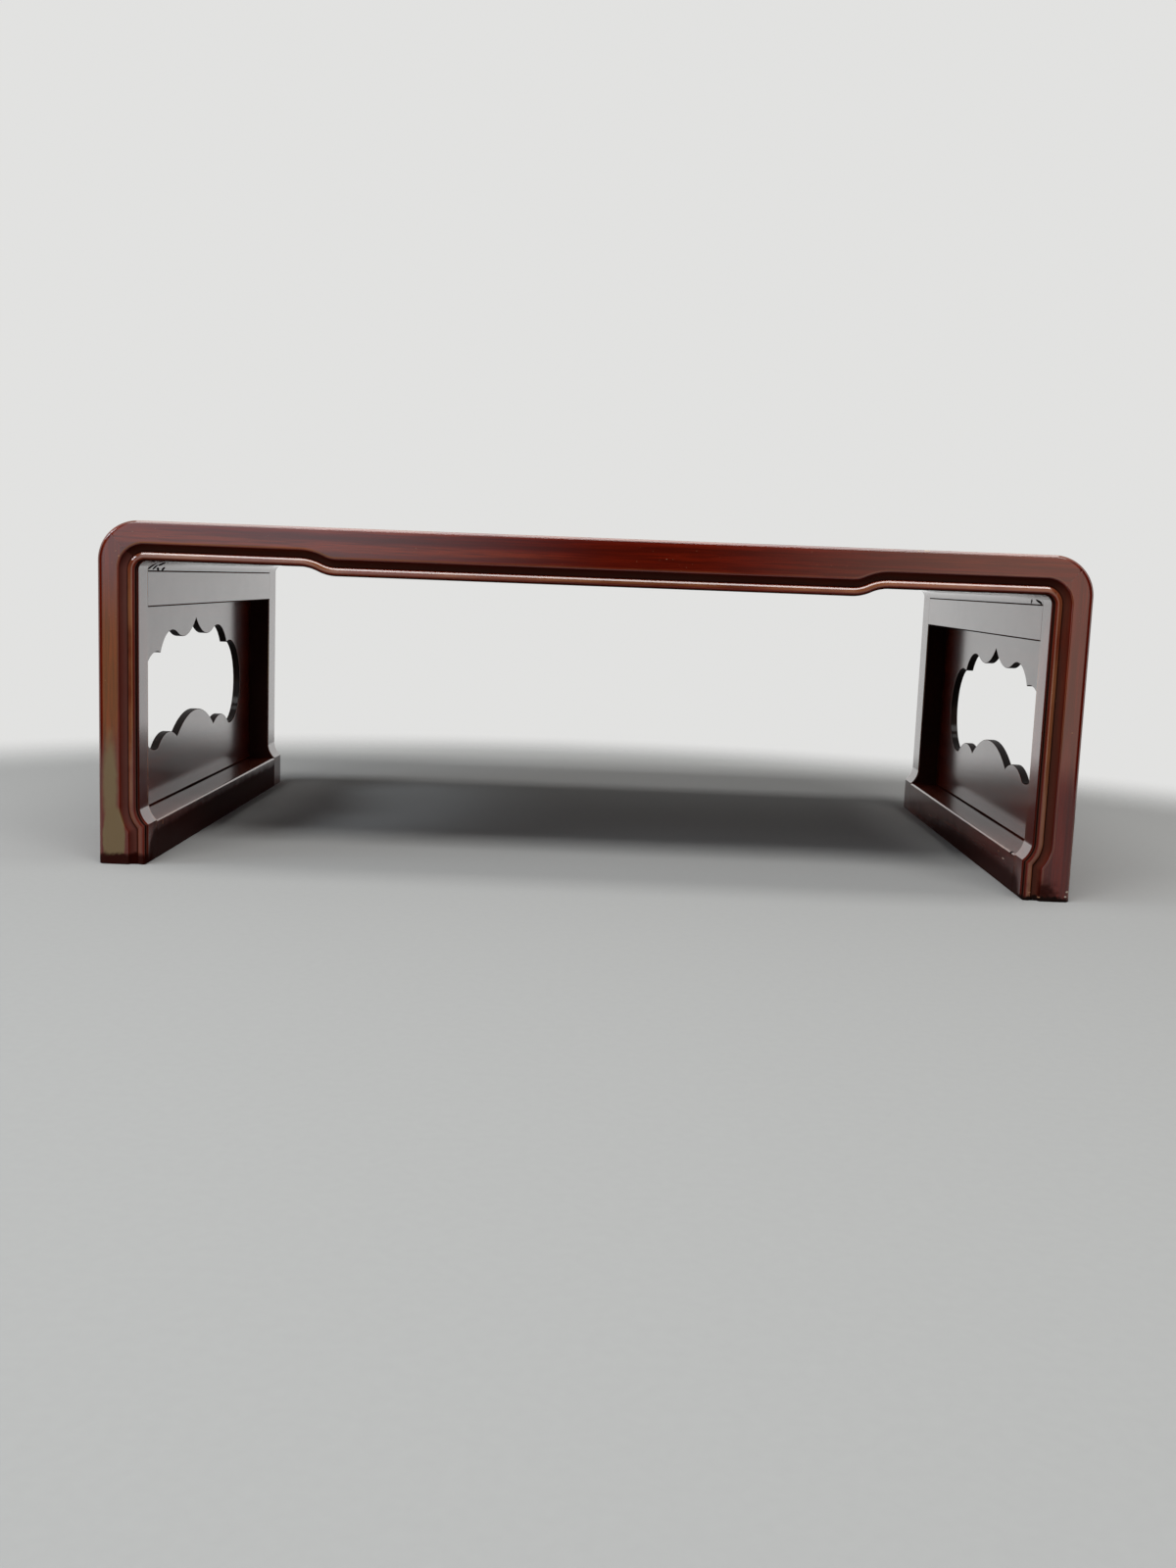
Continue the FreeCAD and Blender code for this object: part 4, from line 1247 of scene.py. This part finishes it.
@dataclass(frozen=True)
class LegEnds:
    """What joins the two frames at each end: end rail, upper rail, foot rail and pierced panel."""

    sizes: TableSizes
    opening: PiercedOpening = field(default_factory=PiercedOpening)
    arris: float = 0.0005
    shelf_round: float = 0.0015
    panel_recess: float = 0.016
    panel_thickness: float = 0.0055
    fit: float = 0.00015
    end_blur: float = 0.12
    upper_blur: float = 0.08
    foot_blur: float = 0.12
    panel_blur: float = 0.15
    figure: Place = (0.4, 0.9, 0.3)
    # Painted shade on the opening's cut edge, with a little wear where it meets the faces.
    sawn_wear: tuple[float, ...] = (-1.2, -1.2, -0.9, -0.4, 0.3)
    # Painted shade along joints between pieces.
    joint_wear: float = -1.0
    edge_wear: float = 1.0
    rim_share: float = 0.985
    flake_size: Pair = (0.012, 0.0011)
    left_flakes: tuple[Flake, ...] = (
        (-0.1606, 0.0025, 0.0072, 0.29),
        (-0.1527, 0.0020, 0.0048, 0.29),
        (-0.1425, 0.0041, 0.0062, 0.14),
        (-0.1457, 0.0010, 0.0034, -0.10),
        (-0.1344, 0.0011, 0.0040, 0.20),
    )
    right_flakes: tuple[Flake, ...] = (
        (-0.1412, 0.0016, 0.0030, -0.44),
        (-0.1580, 0.0015, 0.0076, 0.17),
    )
    curve_steps: int = 13
    shelf_steps: int = 7
    panel_steps: int = 8

    def end_outline(self) -> Array:
        """The right end rail's outline in X and Z, which turns the top's edge down into the leg.

        Returns:
            The points in order.
        """
        sizes = self.sizes
        soft = self.arris
        turn = np.linspace(0, QUARTER_TURN, self.curve_steps)
        ring = np.stack([np.cos(turn), np.sin(turn)], axis=1)
        outer = np.array([sizes.arc_x, sizes.arc_z]) + sizes.corner_radius * ring
        inner = np.array([sizes.bend_x, sizes.bend_z]) + sizes.inner_corner_radius * ring
        x, top, low = sizes.end_x, sizes.height, sizes.under_z
        return np.concatenate([
            outer,
            eased((x + soft, top), (x, top), (x, top - soft), CORNER_STEPS),
            eased((x, low + soft), (x, low), (x + soft, low), CORNER_STEPS),
            inner[::-1],
            np.array([[sizes.half_width, sizes.bend_z]]),
        ])

    def build_rail(self, node: str, side: Side) -> Piece:
        """Makes one rail from frame to frame.

        The upper rail is flush with the leg's inner face. The foot rail has a shelf inside the panel, with
        a rounded edge.

        Args:
            node: The rail's node.
            side: The end of the table.

        Returns:
            The piece.
        """
        sizes, outer, arris = self.sizes, self.sizes.half_width, self.arris
        upper = soft_box((sizes.inner_x, sizes.upper_z), (outer, sizes.bend_z), arris)
        shelf = [arris, arris, arris, self.shelf_round]
        foot = soft_box((sizes.foot_x, 0.0), (outer, sizes.foot_height), shelf, self.shelf_steps)
        rails = {
            "end_rail": (self.end_outline(), self.edge_wear),
            "upper_rail": (upper, self.joint_wear),
            "foot_rail": (foot, self.edge_wear),
        }
        outline, exposed_level = rails[node.split("_", 1)[1]]
        outline = outline * (side.value, 1)
        return beam("lacquered_" + node, outline, Grain.DEPTH, -sizes.bay, sizes.bay, sizes.hairline, exposed_level)

    def panel_section(self) -> Section:
        """The loop round the panel's wood: over its inner face, its edge and its outer face.

        Returns:
            The section's columns.
        """
        soft = self.arris
        thick = self.panel_thickness
        grow, shrink = rounding(soft)
        shares = np.append(np.linspace(0, 1, self.panel_steps + 2)[1:-1], self.rim_share)
        sawn = np.array(self.sawn_wear)
        return Section.joined(
            Section.run(grow, shrink, 0, sawn),
            Section(soft, soft, shares, 0.0, 0.0),
            Section.run(shrink, grow, 1, self.joint_wear),
            Section.run(grow, thick - shrink, 1, self.edge_wear),
            Section(soft, soft, shares[::-1], thick, 0.0),
            Section.run(shrink, thick - grow, 0, sawn[::-1]),
        )

    def build_panel(self, node: str, side: Side) -> Piece:
        """Makes the pierced panel: wood between the opening's outline and the frame round it.

        Faces run from each point of the opening to its partner on the rim.

        Args:
            node: The panel's node.
            side: The end of the table.

        Returns:
            The piece.
        """
        sizes = self.sizes
        section = self.panel_section()
        opening = self.opening.outline()
        low = np.array([-sizes.bay + self.fit, sizes.foot_height])
        high = np.array([sizes.bay - self.fit, sizes.upper_z - self.fit])
        rim = self.opening.partners(low, high)
        inner = np.stack([drawn_in(opening, -reach) for reach in section.from_inner], axis=1)
        inset = section.from_outer[None, :, None]
        outer = np.clip(rim[:, None], low + inset, high - inset)
        places = section.place(inner, outer)
        x = side.value * (sizes.inner_x + self.panel_recess + section.depth)
        points = np.concatenate([np.broadcast_to(x[:, None], (*places.shape[:2], 1)), places], axis=-1)
        exposed = np.broadcast_to(section.exposed, points.shape[:2])
        return mesh_piece("lacquered_" + node, points, exposed, closed_rows=True)

    def flaked(self, across: float, along: float, rise: float, length: float, slant: float) -> Mark:
        """One narrow flake out of the lacquer on an end rail.

        Args:
            across: Its place in X.
            along: Its place in Y.
            rise: Its height over the joint with the upper rail.
            length: Half of its length.
            slant: Its rise in a length along Y.

        Returns:
            The mark.
        """
        centre = (across, along, self.sizes.bend_z + rise)
        radii = (self.flake_size[0], length, self.flake_size[1])
        return Mark(MarkKind.DARK_FLAKE, centre, radii, ragged=0.5, grit=900.0, core=0.75, slant=slant)

    def marks(self, node: str) -> tuple[Mark, ...]:
        """The marks on one piece: wear, flakes, dust and painted shade.

        Args:
            node: The piece's node.

        Returns:
            Its marks.
        """
        inner = self.sizes.inner_x
        shelf = self.sizes.foot_x
        found = {
            "right_foot_rail": (
                Mark(MarkKind.DUSTY, (shelf + 0.010, 0.0, 0.0256), (0.02, 0.3, 0.002), 0.2, 90.0, 0.4),
                # Painted shade on the inner face.
                Mark(MarkKind.DARKENED, (shelf, -0.10, 0.0), (0.004, 0.35, 0.0240), 0.15, 90.0, 0.4),
                Mark(MarkKind.PALE_CHIP, (shelf, -0.140, 0.0170), (0.001, 0.0026, 0.0005)),
                Mark(MarkKind.BARE_WOOD, (shelf, -0.128, 0.0196), (0.001, 0.0016, 0.0004)),
                Mark(MarkKind.DARK_FLAKE, (shelf, -0.157, 0.0246), (0.002, 0.0028, 0.0016)),
            ),
            "left_foot_rail": (
                Mark(MarkKind.DUSTY, (-shelf - 0.010, 0.0, 0.0256), (0.02, 0.3, 0.002), 0.2, 90.0, 0.4),
                # Painted shade on the inner face.
                Mark(MarkKind.DARKENED, (-shelf, 0.0, 0.0), (0.004, 0.8, 0.0245), 0.15, 90.0, 0.7),
                Mark(MarkKind.BARE_WOOD, (-shelf, -0.154, 0.0215), (0.001, 0.0008, 0.0018)),
            ),
            "left_end_rail": tuple(self.flaked(-inner, *flake) for flake in self.left_flakes),
            "right_end_rail": tuple(self.flaked(inner, *flake) for flake in self.right_flakes),
        }
        return found.get(node, ())

    def build(self) -> None:
        """Makes the pieces at both ends and dresses each in lacquer with its own figure."""
        pieces = {
            "end_rail": (self.build_rail, "frame_wood", self.end_blur),
            "upper_rail": (self.build_rail, "leg_rail_wood", self.upper_blur),
            "foot_rail": (self.build_rail, "leg_rail_wood", self.foot_blur),
            "leg_panel": (self.build_panel, "panel_wood", self.panel_blur),
        }
        for side in Side:
            for step, (name, (maker, slot, blur)) in enumerate(pieces.items()):
                node = f"{side.name}_{name}".lower()
                offset = tuple(shift * count for shift, count in zip(self.figure, (step, side.value, step)))
                marks = self.marks(node)
                finish = Lacquer("lacquer_" + node, Grain.DEPTH, offset, marks=marks, coat_roughness=blur)
                settle(maker(node, side), node, finish.material())


@dataclass(frozen=True)
class BoardedTop:
    """Three boards between the rails, and the two battens across them underneath."""

    sizes: TableSizes
    thickness: float = 0.012
    reveal: float = 0.0008
    gap: float = 0.0003
    middle_width: float = 0.110
    soft: float = 0.0005
    batten_position: float = 0.130
    batten_width: float = 0.030
    batten_depth: float = 0.009
    blur: float = 0.18
    board_figure: Pair = (0.5, 0.35)
    batten_figure: float = 0.4

    @property
    def under(self) -> float:
        """Height of the boards' lower face."""
        return self.sizes.height - self.reveal - self.thickness

    def build_boards(self) -> dict[str, Piece]:
        """Makes the three boards.

        Returns:
            The pieces by the nodes that they stand for.
        """
        half = self.middle_width / 2
        edge = self.sizes.bay - self.gap
        reach = self.sizes.end_x - self.gap
        under, top, soft = self.under, self.under + self.thickness, self.soft
        spans = {
            "top_front_board": (-edge, -half),
            "top_middle_board": (-half + self.gap, half - self.gap),
            "top_rear_board": (half, edge),
        }
        boards = {}
        for node, (low, high) in spans.items():
            outline = soft_box((low, under), (high, top), soft)
            boards[node] = beam("lacquered_" + node, outline, Grain.WIDTH, -reach, reach, soft)
        return boards

    def build_batten(self, side: Side) -> Piece:
        """Makes one batten, which lies against the boards from rail to rail.

        Args:
            side: The end of the table.

        Returns:
            The piece.
        """
        inner, outer = (self.batten_position + sign * self.batten_width / 2 for sign in (-1, 1))
        soft = [2 * self.soft, 2 * self.soft, self.soft, self.soft]
        outline = soft_box((inner, self.under - self.batten_depth), (outer, self.under), soft)
        name = f"planed_{side.name}_batten".lower()
        bay, hairline = self.sizes.bay, self.sizes.hairline
        return beam(name, outline * (side.value, 1), Grain.DEPTH, -bay, bay, hairline)

    def build(self) -> None:
        """Makes the boards and battens, and dresses them and the splines hidden in the mitres."""
        for step, (node, piece) in enumerate(self.build_boards().items()):
            offset = (self.board_figure[0] * step, self.board_figure[1] * step, 0.0)
            finish = Lacquer("lacquer_" + node, Grain.WIDTH, offset, coat_roughness=self.blur)
            settle(piece, node, finish.material())
        for side in Side:
            node = f"{side.name}_batten".lower()
            finish = PlanedWood("planed_" + node, Grain.DEPTH, (0.0, self.batten_figure * side.value, 0.0))
            settle(self.build_batten(side), node, finish.material())
        spline_wood = PlanedWood("planed_splines", Grain.WIDTH).material()
        for face in Face:
            for side in Side:
                node = f"{face.name}_{side.name}_mitre_spline".lower()
                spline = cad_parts[node]
                spline.data.materials.clear()
                spline.data.materials.append(spline_wood)
                LOG.info("%s keeps its solid", node)


@dataclass(frozen=True)
class Lamp:
    """One soft rectangular lamp."""

    name: str
    place: Place
    target: Place
    size: Pair
    power: float
    colour: Colour = (1.0, 1.0, 1.0)
    mirrored: bool = True

    def build(self) -> None:
        """Hangs the lamp with its face towards its target."""
        light = bpy.data.lights.new(self.name, "AREA")
        light.shape = "RECTANGLE"
        light.size, light.size_y = self.size
        light.energy = self.power
        light.color = self.colour
        lamp = bpy.data.objects.new(self.name, light)
        lamp.location = self.place
        towards = Vector(self.target) - Vector(self.place)
        lamp.rotation_euler = towards.to_track_quat("-Z", "Y").to_euler()
        lamp.visible_camera = False
        lamp.visible_glossy = self.mirrored
        bpy.context.scene.collection.objects.link(lamp)


@dataclass(frozen=True)
class Studio:
    """A pale floor that fades into an even pale backdrop, and soft lamps."""

    floor_middle: Place = (0.0, -0.25, 0.0)
    floor_radius: float = 1.2
    floor_steps: int = 128
    fade: Pair = (0.66, 0.92)
    floor_grain: float = 240.0
    floor_roughness: float = 0.9
    floor_gloss: float = 0.1
    floor_colour: Colour = (0.38, 0.38, 0.37)
    floor_shade: Colour = (0.361, 0.361, 0.3515)
    floor_bounce: Colour = (0.14, 0.14, 0.14)
    backdrop: Colour = (0.76, 0.76, 0.75)
    mirrored_back: Colour = (1.15, 1.15, 1.14)
    mirrored_left: Colour = (1.22, 1.33, 1.43)
    mirrored_low_left: Colour = (1.12, 0.84, 0.42)
    mirrored_right: Colour = (1.58, 1.14, 0.95)
    mirrored_front: Colour = (0.0, 0.0, 0.0)
    ambient: Colour = (0.15, 0.15, 0.15)
    low_band: Pair = (-0.05, 0.01)
    left_end: Pair = (-0.62, -0.42)
    left_start: Pair = (-0.22, 0.0)
    right_start: Pair = (0.05, 0.28)
    right_end: Pair = (0.42, 0.62)
    back_start: Pair = (-0.5, 0.3)
    lamps: tuple[Lamp, ...] = (
        Lamp("high_softbox", (0.0, -1.25, 1.75), (0.0, -0.1, 0.1), (2.6, 0.5), 36.0),
        Lamp("ceiling_softbox", (0.0, -0.15, 1.6), (0.0, -0.1, 0.1), (1.6, 0.35), 9.0),
        Lamp("left_softbox", (-0.75, -2.0, 0.95), (0.0, 0.0, 0.1), (1.8, 1.2), 7.0, DAYLIGHT, False),
        Lamp("side_softbox", (-1.85, -0.9, 1.15), (-0.27, -0.19, 0.18), (0.9, 0.4), 14.0, DAYLIGHT),
    )

    def build_floor(self) -> None:
        """Lays a round floor whose cover falls off smoothly from one radius to another."""
        turn = np.linspace(0, 2 * np.pi, self.floor_steps, endpoint=False)
        ring = np.stack([np.cos(turn), np.sin(turn), 0 * turn], axis=1)
        rim = self.floor_radius * ring + self.floor_middle
        mesh = bpy.data.meshes.new("floor")
        mesh.from_pydata(rim.tolist(), [], [list(range(len(turn)))])
        floor = bpy.data.objects.new("floor", mesh)
        bpy.context.scene.collection.objects.link(floor)
        material = bpy.data.materials.new("pale_floor")
        wiring = emptied(material)
        place = wiring.node("ShaderNodeTexCoord").outputs["Object"]
        offset = wiring.node("ShaderNodeVectorMath", {0: place, 1: self.floor_middle}, operation="DISTANCE")
        cover = wiring.between(offset.outputs["Value"], *self.fade, 1.0, 0.0)
        path = wiring.node("ShaderNodeLightPath").outputs
        seen = wiring.math("MAXIMUM", path["Is Camera Ray"], path["Is Glossy Ray"])
        seen = wiring.math("MAXIMUM", seen, path["Is Transmission Ray"])
        grain = wiring.noise(place, self.floor_grain, detail=3.0)
        colour = wiring.blend(grain, self.floor_colour, self.floor_shade)
        colour = wiring.blend(seen, self.floor_bounce, colour)
        surface = wiring.node("ShaderNodeBsdfPrincipled", {
            "Base Color": colour, "Roughness": self.floor_roughness, "Alpha": cover,
            "Specular IOR Level": self.floor_gloss,
        })
        wiring.node("ShaderNodeOutputMaterial", {"Surface": surface.outputs[0]})
        mesh.materials.append(material)

    def build_backdrop(self) -> None:
        """Sets the world: an even backdrop for the camera, and fields that only reflections see.

        Reflections find a light back, a dark front, a cool field on the left that is warm below the
        horizon, and a warm field on the right, each with soft edges.
        """
        world = bpy.data.worlds.new("pale_backdrop")
        bpy.context.scene.world = world
        wiring = emptied(world)
        heading = wiring.node("ShaderNodeTexCoord").outputs["Generated"]
        parts = wiring.node("ShaderNodeSeparateXYZ", {0: heading}).outputs
        path = wiring.node("ShaderNodeLightPath").outputs
        x, dark = parts["X"], self.mirrored_front
        raised = wiring.between(parts["Z"], *self.low_band)
        left = wiring.blend(raised, self.mirrored_low_left, self.mirrored_left)
        left = wiring.blend(wiring.between(x, *self.left_end), dark, left)
        right = wiring.blend(wiring.between(x, *self.right_end), self.mirrored_right, dark)
        front = wiring.blend(wiring.between(x, *self.left_start), left, dark)
        front = wiring.blend(wiring.between(x, *self.right_start), front, right)
        mirrored = wiring.blend(wiring.between(parts["Y"], *self.back_start), front, self.mirrored_back)
        glossy = wiring.math("MAXIMUM", path["Is Glossy Ray"], path["Is Transmission Ray"])
        colour = wiring.blend(glossy, self.ambient, mirrored)
        colour = wiring.blend(path["Is Camera Ray"], colour, self.backdrop)
        light = wiring.node("ShaderNodeBackground", {"Color": colour})
        wiring.node("ShaderNodeOutputWorld", {"Surface": light.outputs[0]})

    def build(self) -> None:
        """Makes the floor, the backdrop and the lamps."""
        self.build_floor()
        self.build_backdrop()
        for lamp in self.lamps:
            lamp.build()


@dataclass(frozen=True)
class Viewpoint:
    """The camera, in front of the table and a little below its top."""

    place: Place = (0.01186, -1.09902, 0.18874)
    heading: float = math.radians(0.6666)
    pitch: float = math.radians(82.0752)
    roll: float = math.radians(2.1874)
    lens: float = 33.9756
    film: float = 36.0
    nearest: float = 0.01

    def build(self) -> None:
        """Places the camera and makes it the scene's own."""
        lens = bpy.data.cameras.new("viewpoint")
        lens.lens = self.lens
        lens.sensor_width = self.film
        lens.clip_start = self.nearest
        camera = bpy.data.objects.new("viewpoint", lens)
        turned = Matrix.Rotation(self.heading, 4, "Z") @ Matrix.Rotation(self.pitch, 4, "X")
        camera.matrix_world = Matrix.Translation(self.place) @ turned @ Matrix.Rotation(self.roll, 4, "Z")
        bpy.context.scene.collection.objects.link(camera)
        bpy.context.scene.camera = camera


def main() -> None:
    """Builds the table's sub-assemblies, the studio and the camera in order."""
    logging.basicConfig(level=logging.INFO, format="%(name)s: %(message)s")
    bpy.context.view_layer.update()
    bpy.context.scene.view_settings.view_transform = "Standard"
    sizes = TableSizes()
    for assembly in (MouldedFrames(sizes), LegEnds(sizes), BoardedTop(sizes), Studio(), Viewpoint()):
        LOG.info("building %s", type(assembly).__name__)
        assembly.build()


if __name__ == "__main__":
    main()
